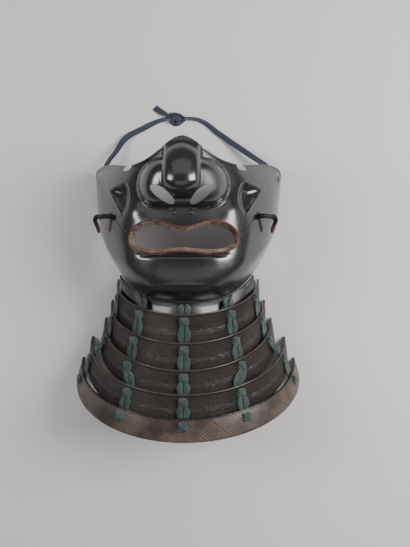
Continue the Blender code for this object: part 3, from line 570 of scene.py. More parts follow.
def face_outwards(obj):
    work = bmesh.new()
    work.from_mesh(obj.data)
    bmesh.ops.recalc_face_normals(work, faces=work.faces)
    work.to_mesh(obj.data)
    work.free()


def apply_modifiers(obj):
    make_active(obj)
    for modifier in list(obj.modifiers):
        bpy.ops.object.modifier_apply(modifier=modifier.name)


def shade(obj, degrees=40):
    make_active(obj)
    bpy.ops.object.shade_smooth_by_angle(angle=math.radians(degrees))


def add_piece(obj, finish, slot, *nodes):
    """Gives a piece its material, and lets it stand for CAD nodes."""
    obj.data.materials.clear()
    obj.data.materials.append(finish)
    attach(obj, "root")
    if nodes:
        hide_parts(*nodes)
    return obj


# Node groups and materials


class Nodes:
    """Shorthand for the nodes of one tree."""

    def __init__(self, tree):
        self.tree = tree

    def add(self, kind, settings=None, **inputs):
        made = self.tree.nodes.new(kind)
        for name, value in (settings or {}).items():
            setattr(made, name, value)
        for name, value in inputs.items():
            self.plug(made.inputs[name.replace("_", " ")], value)
        return made

    def plug(self, socket, value):
        if isinstance(value, bpy.types.NodeSocket):
            self.tree.links.new(value, socket)
        else:
            socket.default_value = value

    def math(self, operation, first, second=0.0, third=0.0, clamp=False):
        made = self.tree.nodes.new("ShaderNodeMath")
        made.operation = operation
        made.use_clamp = clamp
        for socket, value in zip(made.inputs, (first, second, third)):
            self.plug(socket, value)
        return made.outputs[0]

    def noise(self, place, scale, detail=4.0, roughness=0.55, distortion=0.0):
        made = self.add("ShaderNodeTexNoise", Vector=place, Scale=scale, Detail=detail, Distortion=distortion)
        made.inputs["Roughness"].default_value = roughness
        return made.outputs["Fac"]

    def ramp(self, value, low, high, start=0.0, end=1.0, smooth=True):
        """The value mapped from low..high to start..end."""
        made = self.add("ShaderNodeMapRange", {"interpolation_type": "SMOOTHSTEP" if smooth else "LINEAR"})
        for name, given in (
            ("Value", value),
            ("From Min", low),
            ("From Max", high),
            ("To Min", start),
            ("To Max", end),
        ):
            self.plug(made.inputs[name], given)
        return made.outputs["Result"]

    def mix(self, share, first, second):
        made = self.tree.nodes.new("ShaderNodeMix")
        made.data_type = "RGBA"
        self.plug(made.inputs["Factor"], share)
        self.plug(made.inputs["A"], first)
        self.plug(made.inputs["B"], second)
        return next(socket for socket in made.outputs if socket.type == "RGBA")

    def stretch(self, place, scale, turn=0.0):
        made = self.add("ShaderNodeMapping", Vector=place)
        made.inputs["Scale"].default_value = scale
        made.inputs["Rotation"].default_value = (0.0, 0.0, turn)
        return made.outputs["Vector"]

    def bump(self, height, distance, strength=1.0, normal=None):
        made = self.add("ShaderNodeBump", Height=height, Distance=distance, Strength=strength)
        if normal is not None:
            self.plug(made.inputs["Normal"], normal)
        return made.outputs["Normal"]


def new_group(name, inputs, outputs):
    """An empty node group with these sockets: (its helper, its input sockets, its output node)."""
    tree = bpy.data.node_groups.new(name, "ShaderNodeTree")
    kinds = {"value": "NodeSocketFloat", "colour": "NodeSocketColor", "vector": "NodeSocketVector"}
    for socket, kind, default in inputs:
        made = tree.interface.new_socket(socket, in_out="INPUT", socket_type=kinds[kind])
        if default is not None:
            made.default_value = default
    for socket, kind in outputs:
        tree.interface.new_socket(socket, in_out="OUTPUT", socket_type=kinds[kind])
    helper = Nodes(tree)
    source = tree.nodes.new("NodeGroupInput")
    target = tree.nodes.new("NodeGroupOutput")
    return helper, source.outputs, target


def hand_lacquer_group():
    """Brushed lacquer: slow waves, fine dust pits, hairline scratches and patches that are rubbed dull."""
    n, given, out = new_group(
        "hand_lacquer",
        (
            ("Place", "vector", None),
            ("Gloss", "value", 0.16),
            ("Rub", "value", 0.12),
            ("Wave", "value", 0.00003),
        ),
        (("Patches", "value"), ("Roughness", "value"), ("Normal", "vector")),
    )
    place = given["Place"]
    slow = n.noise(place, 46.0, 2.0, 0.5)
    patches = n.ramp(n.noise(place, 21.0, 5.0, 0.62), 0.42, 0.72)
    pits = n.ramp(n.noise(place, 2600.0, 2.0, 0.5), 0.66, 0.80)
    hair = n.noise(n.stretch(place, (2400.0, 160.0, 600.0), 0.6), 1.0, 2.0, 0.6)
    scratches = n.ramp(hair, 0.66, 0.74)
    rough = n.math("MULTIPLY_ADD", patches, given["Rub"], given["Gloss"])
    rough = n.math("MULTIPLY_ADD", scratches, 0.10, rough)
    rough = n.math("MULTIPLY_ADD", pits, 0.20, rough, clamp=True)
    wavy = n.add("ShaderNodeBump", Height=slow, Strength=1.0)
    n.plug(wavy.inputs["Distance"], n.math("MULTIPLY", given["Wave"], 12.0))
    fine = n.bump(pits, 0.00004, 0.5, wavy.outputs["Normal"])
    n.plug(out.inputs["Patches"], patches)
    n.plug(out.inputs["Roughness"], rough)
    n.plug(out.inputs["Normal"], fine)
    return n.tree


def silk_braid_group():
    """Flat braid: two rows of slanting strands that meet in the middle. Flow is (along, side, height)."""
    n, given, out = new_group(
        "silk_braid",
        (("Flow", "vector", None), ("Pitch", "value", 0.0014), ("Slant", "value", 0.9)),
        (("Strands", "value"), ("Fibres", "value")),
    )
    split = n.add("ShaderNodeSeparateXYZ", Vector=given["Flow"]).outputs
    side = n.math("ABSOLUTE", split["Y"])
    turns = n.math("DIVIDE", split["X"], given["Pitch"])
    phase = n.math("SUBTRACT", turns, n.math("MULTIPLY", side, given["Slant"]))
    offset = n.math("MULTIPLY", n.math("GREATER_THAN", split["Y"], 0.0), 0.5)
    wave = n.math("SINE", n.math("MULTIPLY", n.math("ADD", phase, offset), 2 * math.pi))
    ridge = n.ramp(wave, -0.9, 0.8)
    seam = n.ramp(side, 0.02, 0.16)
    n.plug(out.inputs["Strands"], n.math("MULTIPLY", ridge, seam))
    fibres = n.noise(n.stretch(given["Flow"], (2200.0, 9.0, 900.0), 0.4), 1.0, 3.0, 0.6)
    n.plug(out.inputs["Fibres"], fibres)
    return n.tree


GROUPS = {"lacquer": hand_lacquer_group(), "braid": silk_braid_group()}


def new_material(name):
    made = bpy.data.materials.new(name)
    made.use_nodes = True
    n = Nodes(made.node_tree)
    shader = made.node_tree.nodes["Principled BSDF"]
    place = n.add("ShaderNodeTexCoord").outputs["Object"]
    return made, n, shader, place


def flow_of(n):
    return n.add("ShaderNodeAttribute", {"attribute_name": "flow"}).outputs["Vector"]


def use_group(n, group, **inputs):
    made = n.tree.nodes.new("ShaderNodeGroup")
    made.node_tree = GROUPS[group]
    for name, value in inputs.items():
        n.plug(made.inputs[name], value)
    return made.outputs


# Where the lacquer is rubbed dull: the middle of each spot and its radius
DULL_SPOTS = (
    ((0.0205, 0.0850, 0.1020), 0.014),
    ((0.0245, 0.1060, 0.0950), 0.012),
    ((-0.0245, 0.1060, 0.0950), 0.012),
)


def black_lacquer():
    """Black lacquer over iron, with a brown cast where it has worn thin."""
    made, n, shader, place = new_material("black_lacquer")
    coat = use_group(n, "lacquer", Place=place, Gloss=0.22, Rub=0.08)
    thin = n.ramp(n.noise(place, 60.0, 6.0, 0.6), 0.56, 0.80)
    thin = n.math("MULTIPLY", thin, coat["Patches"])
    colour = n.mix(thin, (0.011, 0.0105, 0.011, 1.0), (0.034, 0.022, 0.017, 1.0))
    inside = n.add("ShaderNodeAttribute", {"attribute_name": "inside"}).outputs["Fac"]
    colour = n.mix(inside, colour, (0.030, 0.0095, 0.006, 1.0))
    n.plug(shader.inputs["Base Color"], colour)
    low = n.add("ShaderNodeSeparateXYZ", Vector=place).outputs["Y"]
    dull = n.ramp(low, 0.022, 0.010, 0.0, 0.55)
    for spot, radius in DULL_SPOTS:
        away = n.add("ShaderNodeVectorMath", {"operation": "DISTANCE"})
        n.plug(away.inputs[0], place)
        n.plug(away.inputs[1], spot)
        dull = n.math("MAXIMUM", dull, n.ramp(away.outputs["Value"], radius, 0.5 * radius))
    n.plug(shader.inputs["Roughness"], n.math("MULTIPLY_ADD", dull, 0.22, coat["Roughness"]))
    n.plug(shader.inputs["Coat Weight"], n.math("MULTIPLY_ADD", dull, -0.40, 0.45))
    n.plug(shader.inputs["Normal"], coat["Normal"])
    shader.inputs["IOR"].default_value = 1.72
    shader.inputs["Coat Roughness"].default_value = 0.10
    return made


def rim_lacquer():
    """Red line outside and dull gold band inside, both rubbed through in places."""
    made, n, shader, place = new_material("red_and_gold_lacquer")
    coat = use_group(n, "lacquer", Place=place, Gloss=0.30, Rub=0.2)
    split = n.add("ShaderNodeSeparateXYZ", Vector=flow_of(n)).outputs
    wander = n.math("MULTIPLY_ADD", n.noise(place, 420.0, 3.0), 0.16, -0.08)
    depth = n.math("ADD", split["Y"], wander)
    red_share = n.math("SUBTRACT", 1.0, n.ramp(depth, 0.22, 0.30))
    ticks = n.ramp(n.noise(n.stretch(flow_of(n), (620.0, 1.2, 1.0)), 1.0, 3.0, 0.7), 0.47, 0.62)
    aged = n.ramp(n.noise(place, 55.0, 3.0), 0.40, 0.62)
    gold = n.mix(aged, (0.330, 0.275, 0.225, 1.0), (0.170, 0.108, 0.066, 1.0))
    gold = n.mix(ticks, gold, (0.055, 0.030, 0.020, 1.0))
    worn = n.ramp(n.noise(place, 170.0, 5.0), 0.42, 0.62)
    red = n.mix(worn, (0.130, 0.018, 0.010, 1.0), (0.030, 0.009, 0.007, 1.0))
    n.plug(shader.inputs["Base Color"], n.mix(red_share, gold, red))
    n.plug(shader.inputs["Roughness"], coat["Roughness"])
    n.plug(shader.inputs["Metallic"], n.math("MULTIPLY_ADD", red_share, -0.35, 0.35))
    n.plug(shader.inputs["Normal"], n.bump(ticks, 0.0001, 0.6, coat["Normal"]))
    return made


def hook_iron():
    """Black iron pegs, worn to brown at their tips."""
    made, n, shader, place = new_material("hook_iron")
    coat = use_group(n, "lacquer", Place=place, Gloss=0.46, Rub=0.20)
    split = n.add("ShaderNodeSeparateXYZ", Vector=flow_of(n)).outputs
    rough_edge = n.math("MULTIPLY_ADD", n.noise(place, 700.0, 4.0), 0.3, split["X"])
    worn = n.ramp(rough_edge, 0.86, 1.06)
    n.plug(shader.inputs["Base Color"], n.mix(worn, (0.006, 0.005, 0.006, 1.0), (0.075, 0.038, 0.028, 1.0)))
    n.plug(shader.inputs["Roughness"], coat["Roughness"])
    n.plug(shader.inputs["Normal"], n.bump(n.noise(place, 900.0, 4.0), 0.00012, 0.5, coat["Normal"]))
    shader.inputs["IOR"].default_value = 1.36
    return made


def leather_grain(n, flow, place):
    """The wrinkled grain's height: curling creases at two sizes, and pores."""
    heights = []
    for scale, bend, seed in ((330.0, 1.9, 0.0), (760.0, 1.4, 7.3)):
        slanted = n.stretch(flow, (0.62 * scale, scale, scale), 0.22)
        bent = n.noise(slanted, 0.55, 2.0)
        swirl = n.noise(slanted, 0.42, 2.0, 0.6, 0.6)
        bend_x = n.math("MULTIPLY", bent, 2.0 * bend)
        bend_y = n.math("MULTIPLY", swirl, 3.0 * bend)
        spread = n.add("ShaderNodeCombineXYZ", X=bend_x, Y=bend_y)
        warped = n.add("ShaderNodeVectorMath", {"operation": "ADD"})
        n.plug(warped.inputs[0], slanted)
        n.plug(warped.inputs[1], spread.outputs["Vector"])
        waves = n.noise(warped.outputs["Vector"], 1.0, 2.0, 0.5, 0.35)
        heights.append(n.math("ABSOLUTE", n.math("MULTIPLY_ADD", waves, 2.0, -1.0 + 0.01 * seed)))
    creases = n.math("MINIMUM", heights[0], n.math("MULTIPLY_ADD", heights[1], 1.1, 0.07))
    pores = n.noise(place, 1900.0, 3.0, 0.6)
    height = n.math("MULTIPLY_ADD", n.ramp(creases, 0.0, 0.24), 0.85, n.math("MULTIPLY", pores, 0.15))
    return height, creases


def lame_parts(n, flow):
    """Masks over a lame from its flow: the polished rim, the inner face and the thin band of painted shade
    under the rim.
    """
    split = n.add("ShaderNodeSeparateXYZ", Vector=flow).outputs
    rim = n.math("SUBTRACT", 1.0, n.ramp(split["Y"], *BAND_FADE))
    inside = n.math("LESS_THAN", split["Z"], 0.25)
    # line: a thin band of painted shade just under the rim
    line = n.math("MULTIPLY", n.ramp(split["Y"], *BAND_FADE), n.ramp(split["Y"], *RIM_SHADE_FADE))
    return rim, inside, line


def grained_leather():
    """Brown-black lacquered leather with a wrinkled grain, a polished black rim and a black inner face, with
    painted highlights on the grain's crests, painted shade in its creases and under the rim, and an inner
    face dark enough to stand in for the shade between the lames.
    """
    made, n, shader, place = new_material("grained_leather")
    flow = flow_of(n)
    height, creases = leather_grain(n, flow, place)
    rim, inside, line = lame_parts(n, flow)
    plain = n.math("MAXIMUM", rim, inside)
    tone = n.ramp(n.noise(place, 30.0, 5.0, 0.6), 0.38, 0.66)
    skin = n.mix(tone, (0.040, 0.032, 0.030, 1.0), (0.072, 0.056, 0.048, 1.0))
    # painted highlight: the grain's crests are lighter
    skin = n.mix(n.ramp(creases, 0.14, 0.34), skin, (0.105, 0.088, 0.078, 1.0))
    # painted shade: the grain's creases are darker
    skin = n.mix(n.ramp(creases, 0.11, 0.015), skin, (0.012, 0.009, 0.008, 1.0))
    # painted shade in a thin band under the rim
    skin = n.mix(n.math("MULTIPLY", line, 0.85), skin, (0.008, 0.006, 0.006, 1.0))
    wear = n.math("MULTIPLY", rim, n.ramp(n.noise(place, 160.0, 5.0, 0.65), 0.55, 0.72))
    # the inner face is black lacquer painted near-black, which also stands in for the shade between the lames
    black = n.mix(inside, (0.055, 0.042, 0.037, 1.0), (0.006, 0.005, 0.005, 1.0))
    black = n.mix(wear, black, (0.100, 0.066, 0.045, 1.0))
    n.plug(shader.inputs["Base Color"], n.mix(plain, skin, black))
    rough = n.math("MULTIPLY_ADD", n.noise(place, 240.0, 3.0), 0.18, 0.30)
    rough = n.math("MULTIPLY_ADD", rim, -0.10, rough)
    n.plug(shader.inputs["Roughness"], n.math("MULTIPLY_ADD", inside, 0.30, rough))
    relief_height = n.math("MULTIPLY", height, n.math("SUBTRACT", 1.0, plain))
    n.plug(shader.inputs["Normal"], n.bump(relief_height, 0.00060, 1.0))
    return made


def fret_height(n, flow):
    """An engraved key fret on the diagonal: broken nested squares, as lines of 0 and 1."""
    turned = n.stretch(flow, (1.0, 1.0, 1.0), math.radians(45))
    split = n.add("ShaderNodeSeparateXYZ", Vector=turned).outputs
    cells = []
    for axis in ("X", "Y"):
        share = n.math("DIVIDE", split[axis], FRET_TILE)
        cells.append(n.math("SUBTRACT", n.math("FRACT", share), 0.5))
    squares = n.math("MAXIMUM", n.math("ABSOLUTE", cells[0]), n.math("ABSOLUTE", cells[1]))
    half = n.math("GREATER_THAN", n.math("ADD", cells[0], cells[1]), 0.0)
    rings = n.math("MULTIPLY_ADD", squares, 8.0, n.math("MULTIPLY", half, 0.5))
    saw = n.math("ABSOLUTE", n.math("MULTIPLY_ADD", n.math("FRACT", rings), 2.0, -1.0))
    return n.ramp(saw, 0.38, 0.62)


def fret_leather():
    """Brown lacquer with an engraved fret, most of it rubbed away, and a lighter lower edge, with painted
    shade in a band under the rim and a near-black rim and inner face, the inner face also standing in for the
    shade between the lames.
    """
    made, n, shader, place = new_material("fret_leather")
    flow = flow_of(n)
    rim, inside, line = lame_parts(n, flow)
    plain = n.math("MAXIMUM", rim, inside)
    fret = fret_height(n, flow)
    kept = n.ramp(n.noise(place, 26.0, 3.0, 0.5), 0.41, 0.53)
    split = n.add("ShaderNodeSeparateXYZ", Vector=flow).outputs
    low_edge = n.ramp(split["Y"], 0.0158, 0.0190)
    rust = n.ramp(n.noise(place, 120.0, 6.0, 0.66), 0.42, 0.66)
    skin = n.mix(rust, (0.030, 0.022, 0.020, 1.0), (0.064, 0.040, 0.031, 1.0))
    lines = n.math("MULTIPLY", fret, kept)
    skin = n.mix(n.math("MULTIPLY", lines, 0.7), skin, (0.190, 0.130, 0.095, 1.0))
    skin = n.mix(n.math("MULTIPLY", low_edge, 0.35), skin, (0.085, 0.058, 0.045, 1.0))
    # painted shade in a thin band under the rim
    skin = n.mix(n.math("MULTIPLY", line, 0.7), skin, (0.012, 0.009, 0.008, 1.0))
    # rim and inner face near-black; on the inner face this also stands in for the shade between the lames
    n.plug(shader.inputs["Base Color"], n.mix(plain, skin, (0.016, 0.013, 0.012, 1.0)))
    rough = n.math("MULTIPLY_ADD", n.noise(place, 300.0, 4.0), 0.26, 0.26)
    n.plug(shader.inputs["Roughness"], n.math("MULTIPLY_ADD", plain, -0.12, rough))
    pits = n.noise(place, 800.0, 5.0, 0.62)
    height = n.math("MULTIPLY_ADD", lines, 0.8, n.math("MULTIPLY", pits, 0.35))
    height = n.math("MULTIPLY", height, n.math("SUBTRACT", 1.0, plain))
    n.plug(shader.inputs["Normal"], n.bump(height, 0.00035, 0.9))
    return made


def green_silk():
    """Flat silk braid, blue-green and faded in places, with painted shade in the grooves between its strands
    and along its middle seam.
    """
    made, n, shader, place = new_material("green_silk")
    braid = use_group(n, "braid", Flow=flow_of(n))
    fade = n.ramp(n.noise(place, 110.0, 4.0, 0.6), 0.40, 0.66)
    thread = n.mix(fade, (0.012, 0.037, 0.035, 1.0), (0.046, 0.090, 0.077, 1.0))
    thread = n.mix(n.math("MULTIPLY", braid["Fibres"], 0.45), thread, (0.105, 0.160, 0.140, 1.0))
    # painted shade: the grooves between the strands and the middle seam are darker
    shade_share = n.ramp(braid["Strands"], 0.0, 0.55, 0.75, 0.0)
    n.plug(shader.inputs["Base Color"], n.mix(shade_share, thread, (0.006, 0.018, 0.018, 1.0)))
    shader.inputs["Roughness"].default_value = 0.72
    shader.inputs["Sheen Weight"].default_value = 0.35
    shader.inputs["Sheen Roughness"].default_value = 0.4
    height = n.math("MULTIPLY_ADD", braid["Fibres"], 0.3, braid["Strands"])
    n.plug(shader.inputs["Normal"], n.bump(height, 0.00045, 1.0))
    return made


def blue_satin():
    """Slate-blue satin with fine cross ribs and a woven edge."""
    made, n, shader, place = new_material("blue_satin")
    flow = flow_of(n)
    split = n.add("ShaderNodeSeparateXYZ", Vector=flow).outputs
    ribs = n.math("SINE", n.math("MULTIPLY", split["X"], 2 * math.pi / SATIN_RIB))
    edge = n.ramp(n.math("ABSOLUTE", split["Y"]), 0.80, 0.92)
    tone = n.ramp(n.noise(n.stretch(flow, (60.0, 2.0, 1.0)), 1.0, 3.0), 0.35, 0.65)
    satin = n.mix(tone, (0.013, 0.020, 0.038, 1.0), (0.028, 0.039, 0.067, 1.0))
    satin = n.mix(n.math("MULTIPLY", edge, 0.6), satin, (0.009, 0.012, 0.024, 1.0))
    n.plug(shader.inputs["Base Color"], satin)
    n.plug(shader.inputs["Roughness"], n.math("MULTIPLY_ADD", edge, 0.2, 0.36))
    shader.inputs["Sheen Weight"].default_value = 0.25
    height = n.math("MULTIPLY_ADD", edge, 1.2, n.math("MULTIPLY", ribs, 0.5))
    n.plug(shader.inputs["Normal"], n.bump(height, 0.00005, 0.8))
    return made


def pale_surface():
    """Matt pale grey card."""
    made, n, shader, place = new_material("pale_surface")
    tone = n.noise(place, 3.0, 3.0)
    n.plug(shader.inputs["Base Color"], n.mix(tone, (0.66, 0.635, 0.635, 1.0), (0.72, 0.695, 0.695, 1.0)))
    shader.inputs["Roughness"].default_value = 0.9
    return made


# Mask


def shell_object(name, outer, inner):
    """A closed shell between two grids of points, with its border rounded off."""
    rows, columns = outer.shape[:2]
    front = np.arange(rows * columns).reshape(rows, columns)
    back = front + rows * columns
    faces = []
    for i in range(rows - 1):
        fold = np.linalg.norm(outer[i, :-1] - outer[i + 1, 1:], axis=1)
        other = np.linalg.norm(outer[i + 1, :-1] - outer[i, 1:], axis=1)
        for j in range(columns - 1):
            for grid, turn in ((front, 1), (back, -1)):
                a, b, c, d = grid[i, j], grid[i + 1, j], grid[i + 1, j + 1], grid[i, j + 1]
                corners = ((a, b, c), (a, c, d)) if fold[j] < other[j] else ((a, b, d), (b, c, d))
                faces += [[int(k) for k in corner[::turn]] for corner in corners]
    border = [(0, j) for j in range(columns)] + [(i, columns - 1) for i in range(1, rows)]
    border += [(rows - 1, j) for j in range(columns - 2, -1, -1)] + [(i, 0) for i in range(rows - 2, 0, -1)]
    points = np.concatenate([outer.reshape(-1, 3), inner.reshape(-1, 3)])
    middles = []
    for i, j in border:
        k = min(max(i, 1), rows - 2)
        m = min(max(j, 1), columns - 2)
        out = outer[i, j] - outer[k, m]
        out = out / np.linalg.norm(out)
        inset = min(0.42 * MASK_WALL, 0.5 * np.linalg.norm(outer[i, j] - outer[k, m]))
        f, b = outer[i, j], inner[i, j]
        middles.append([0.78 * f + 0.22 * b, 0.22 * f + 0.78 * b])
        points[front[i, j]] = f - inset * out
        points[back[i, j]] = b - inset * out
    first = len(points)
    points = np.concatenate([points, np.array(middles).reshape(-1, 3)])
    for k in range(len(border)):
        m = (k + 1) % len(border)
        (i, j), (p, q) = border[k], border[m]
        column = [int(front[i, j]), first + 2 * k, first + 2 * k + 1, int(back[i, j])]
        beside = [int(front[p, q]), first + 2 * m, first + 2 * m + 1, int(back[p, q])]
        for step in range(3):
            faces.append([column[step], beside[step], beside[step + 1], column[step + 1]])
    obj = new_object(name, points, faces)
    face_outwards(obj)
    return obj


def mark_inside(obj, outer_skin):
    """Writes the attribute inside, which is 0 on the outer skin of a cut plate and 1 behind it."""
    layer = obj.data.attributes.new("inside", "FLOAT", "POINT")
    for vertex, mark in zip(obj.data.vertices, layer.data):
        near = outer_skin.find_nearest(vertex.co)[3]
        mark.value = 0.0 if near < 0.55 * MASK_WALL else 1.0


def grid_skin(points):
    """A search tree over one grid of points, where the piece itself lies."""
    rows, columns = points.shape[:2]
    corners = [(i * columns + j, (i + 1) * columns + j) for i in range(rows - 1) for j in range(columns - 1)]
    faces = [(a, b, b + 1, a + 1) for a, b in corners]
    return BVHTree.FromPolygons((points.reshape(-1, 3) + SHIFT).tolist(), faces)


def mask_columns():
    u = np.linspace(0, 1, MASK_HALF_COLUMNS + 1)
    half = u - 0.058 * np.sin(2 * np.pi * u)
    return np.concatenate([-half[:0:-1], half])


def grid_normal(points):
    """The unit normal at each point of a grid whose rows run down the mask."""
    along_s = np.gradient(points, axis=1)
    along_t = np.gradient(points, axis=0)
    normal = np.cross(along_t, along_s)
    return normal / np.linalg.norm(normal, axis=-1, keepdims=True)


def mask_plate(name, first, last, rows, is_jaw):
    s = mask_columns()
    u = np.linspace(0, 1, rows + 1)[:, None]
    t = first(s) * (1 - u) + last(s) * u
    grid_s = np.broadcast_to(s, t.shape)
    outer = plate_point(grid_s, t, is_jaw)
    down = rib_normal(grid_s, t)
    lean = np.maximum(np.sum(down * grid_normal(outer), axis=-1, keepdims=True), STEEPEST)
    inner = outer - MASK_WALL / lean * down
    inner[..., 2] = np.maximum(inner[..., 2], 0.0)
    obj = shell_object(name, outer, inner)
    vertices = [v.co - Vector(SHIFT) for v in obj.data.vertices]
    UNCUT_PLATES.append(BVHTree.FromPolygons(vertices, [p.vertices[:] for p in obj.data.polygons]))
    return obj, grid_skin(outer)


def face_height(x, y):
    """The height of the uncut mask's outer face at one place (x, y)."""
    above = Vector((x, y, 3 * MASK_HEIGHT))
    found = [plate.ray_cast(above, Vector((0, 0, -1)))[0] for plate in UNCUT_PLATES]
    return max(place.z for place in found if place is not None)


def face_normal(x, y, reach):
    rise_x = face_height(x + reach, y) - face_height(x - reach, y)
    rise_y = face_height(x, y + reach) - face_height(x, y - reach)
    return Vector((-rise_x, -rise_y, 2 * reach)).normalized()


def oval(centre, half_length, half_width, turn, count=40, square=1.0):
    angles = np.linspace(0, 2 * np.pi, count, endpoint=False)
    along = np.sign(np.cos(angles)) * np.abs(np.cos(angles)) ** square * half_length
    beside = np.sign(np.sin(angles)) * np.abs(np.sin(angles)) ** square * half_width
    x = centre[0] + along * math.cos(turn) - beside * math.sin(turn)
    y = centre[1] + along * math.sin(turn) + beside * math.cos(turn)
    return x, y


def prism(name, x, y):
    """A cutter with this outline in plan, longer than the mask is high."""
    rings = np.stack([np.stack([x, y, np.full_like(x, z)], -1) for z in (-MASK_HEIGHT, 2.5 * MASK_HEIGHT)])
    return skin_object(name, [(rings, np.zeros_like(rings))])


def cut_openings(plate, cutters):
    for cutter in cutters:
        modifier = plate.modifiers.new(cutter.name, "BOOLEAN")
        modifier.operation = "DIFFERENCE"
        modifier.solver = "EXACT"
        modifier.object = cutter
    apply_modifiers(plate)


def make_mask(finish):
    half_gap = 0.75 * GAP
    face, face_skin = mask_plate(
        "mask_face",
        lambda s: settle_rows(s, top_curve),
        lambda s: settle_rows(s, lambda x: SEAM_CURVE(x) + half_gap),
        FACE_ROWS,
        False,
    )
    jaw, jaw_skin = mask_plate(
        "mask_jaw", lambda s: settle_rows(s, lambda x: SEAM_CURVE(x) - half_gap), np.ones_like, JAW_ROWS, True
    )
    angles = np.linspace(0, 2 * np.pi, RIM_STEPS, endpoint=False)
    mouth = prism("mouth_cutter", *mouth_outline(angles, 0.0))
    cutters = [mouth]
    for side in (1, -1):
        nostril = oval(point_of(NOSTRIL), NOSTRIL_HALF_LENGTH, NOSTRIL_HALF_WIDTH, NOSTRIL_SLANT)
        eyelet = oval(point_of(EYELET), EYELET_RADIUS + EYELET_SPACING / 2, EYELET_RADIUS, -0.25, 24)
        slot = oval(point_of(TIE_SLOT), TIE_SLOT_LENGTH / 2, TIE_SLOT_WIDTH / 2, math.pi / 2, 24, 0.6)
        for kind, (x, y) in (("nostril", nostril), ("eyelet", eyelet), ("tie_slot", slot)):
            cutters.append(prism(f"{kind}_{side}", side * x, y))
    cut_openings(face, cutters)
    cut_openings(jaw, [mouth])
    for cutter in cutters:
        bpy.data.objects.remove(cutter, do_unlink=True)
    for plate, skin, node in ((face, face_skin, "face_plate"), (jaw, jaw_skin, "jaw_plate")):
        mark_inside(plate, skin)
        shade(plate, 42)
        add_piece(plate, finish, "black_lacquer", node)


def make_mouth_rim(finish):
    angles = np.linspace(0, 2 * np.pi, RIM_STEPS, endpoint=False)
    outer_x, outer_y = mouth_outline(angles, -GAP)
    inner_x, inner_y = mouth_outline(angles, -RIM_WIDTH)
    face = np.array([face_height(x, y) for x, y in zip(outer_x, outer_y)])
    lengths = np.hypot(np.diff(outer_x, append=outer_x[:1]), np.diff(outer_y, append=outer_y[:1]))
    along = np.concatenate([[0.0], np.cumsum(lengths)[:-1]])
    profile = (
        (0.00, 0.3 * RIM_PROUD),
        (0.05, 0.8 * RIM_PROUD),
        (0.14, 1.1 * RIM_PROUD),
        (0.26, 1.0 * RIM_PROUD),
        (0.38, 0.2 * RIM_PROUD),
        (0.46, -0.2 * RIM_DROP),
        (0.72, -0.6 * RIM_DROP),
        (0.94, -0.96 * RIM_DROP),
        (1.00, -1.08 * RIM_DROP),
        (1.00, -1.0 * RIM_DROP - 0.8 * RIM_THICKNESS),
        (0.94, -1.0 * RIM_DROP - RIM_THICKNESS),
        (0.30, -1.6 * RIM_THICKNESS),
        (0.00, -1.3 * RIM_THICKNESS),
    )
    rings = []
    flow = []
    for share, height in profile:
        x = outer_x + (inner_x - outer_x) * share
        y = outer_y + (inner_y - outer_y) * share
        rings.append(np.stack([x, y, face + height], -1))
        flow.append(np.stack([along, np.full_like(x, share), np.zeros_like(x)], -1))
    rim = skin_object("mouth_band", [(np.stack(rings, 1), np.stack(flow, 1))], closed_path=True)
    shade(rim, 60)
    add_piece(rim, finish, "red_and_gold_lacquer", "mouth_rim")


def make_rivets(finish):
    """Two low domes under the nose."""
    for side, sign in (("left", -1), ("right", 1)):
        x, y = point_of(RIVET, sign)
        normal = face_normal(x, y, RIVET_RADIUS)
        place = Vector((x, y, face_height(x, y))) + 1.5 * GAP * normal + Vector(SHIFT)
        deselect_all()
        bpy.ops.mesh.primitive_uv_sphere_add(segments=24, ring_count=14, radius=RIVET_RADIUS)
        rivet = bpy.context.object
        bpy.ops.object.mode_set(mode="EDIT")
        bpy.ops.mesh.select_all(action="SELECT")
        bpy.ops.mesh.bisect(plane_co=(0, 0, 0), plane_no=(0, 0, 1), use_fill=True, clear_inner=True)
        bpy.ops.object.mode_set(mode="OBJECT")
        rivet.rotation_euler = normal.to_track_quat("Z", "Y").to_euler()
        rivet.location = place
        bpy.ops.object.transform_apply(location=True, rotation=True, scale=True)
        rivet.name = "rivet_dome_" + side
        shade(rivet, 60)
        add_piece(rivet, finish, "black_lacquer", "rivet_" + side)


def spline_points(route, count):
    """Points at even steps on a smooth curve through a route."""
    route = np.array(route, float)
    lengths = np.concatenate([[0.0], np.cumsum(np.linalg.norm(np.diff(route, axis=0), axis=1))])
    curves = [smooth_curve(lengths, route[:, k]) for k in range(3)]
    steps = np.linspace(0.0, lengths[-1], count)
    return np.stack([curve(steps) for curve in curves], -1), steps


def tube_rings(points, ups, widths, heights, sides, square=1.0):
    """Oval rings round a line of points, each with its own up direction, width and height."""
    points = np.asarray(points, float)
    tangents = np.gradient(points, axis=0)
    tangents /= np.linalg.norm(tangents, axis=1, keepdims=True)
    across = np.cross(tangents, ups)
    across /= np.linalg.norm(across, axis=1, keepdims=True)
    ups = np.cross(across, tangents)
    angles = np.linspace(0, 2 * np.pi, sides, endpoint=False)
    c = np.sign(np.cos(angles)) * np.abs(np.cos(angles)) ** square
    s = np.sign(np.sin(angles)) * np.abs(np.sin(angles)) ** square
    half_width = 0.5 * np.asarray(widths)[:, None, None]
    half_height = 0.5 * np.asarray(heights)[:, None, None]
    rings = points[:, None, :] + half_width * c[None, :, None] * across[:, None, :]
    rings = rings + half_height * s[None, :, None] * ups[:, None, :]
    steps = np.concatenate([[0.0], np.cumsum(np.linalg.norm(np.diff(points, axis=0), axis=1))])
    flow = np.stack(np.broadcast_arrays(steps[:, None], c[None, :], s[None, :]), -1)
    return rings, flow


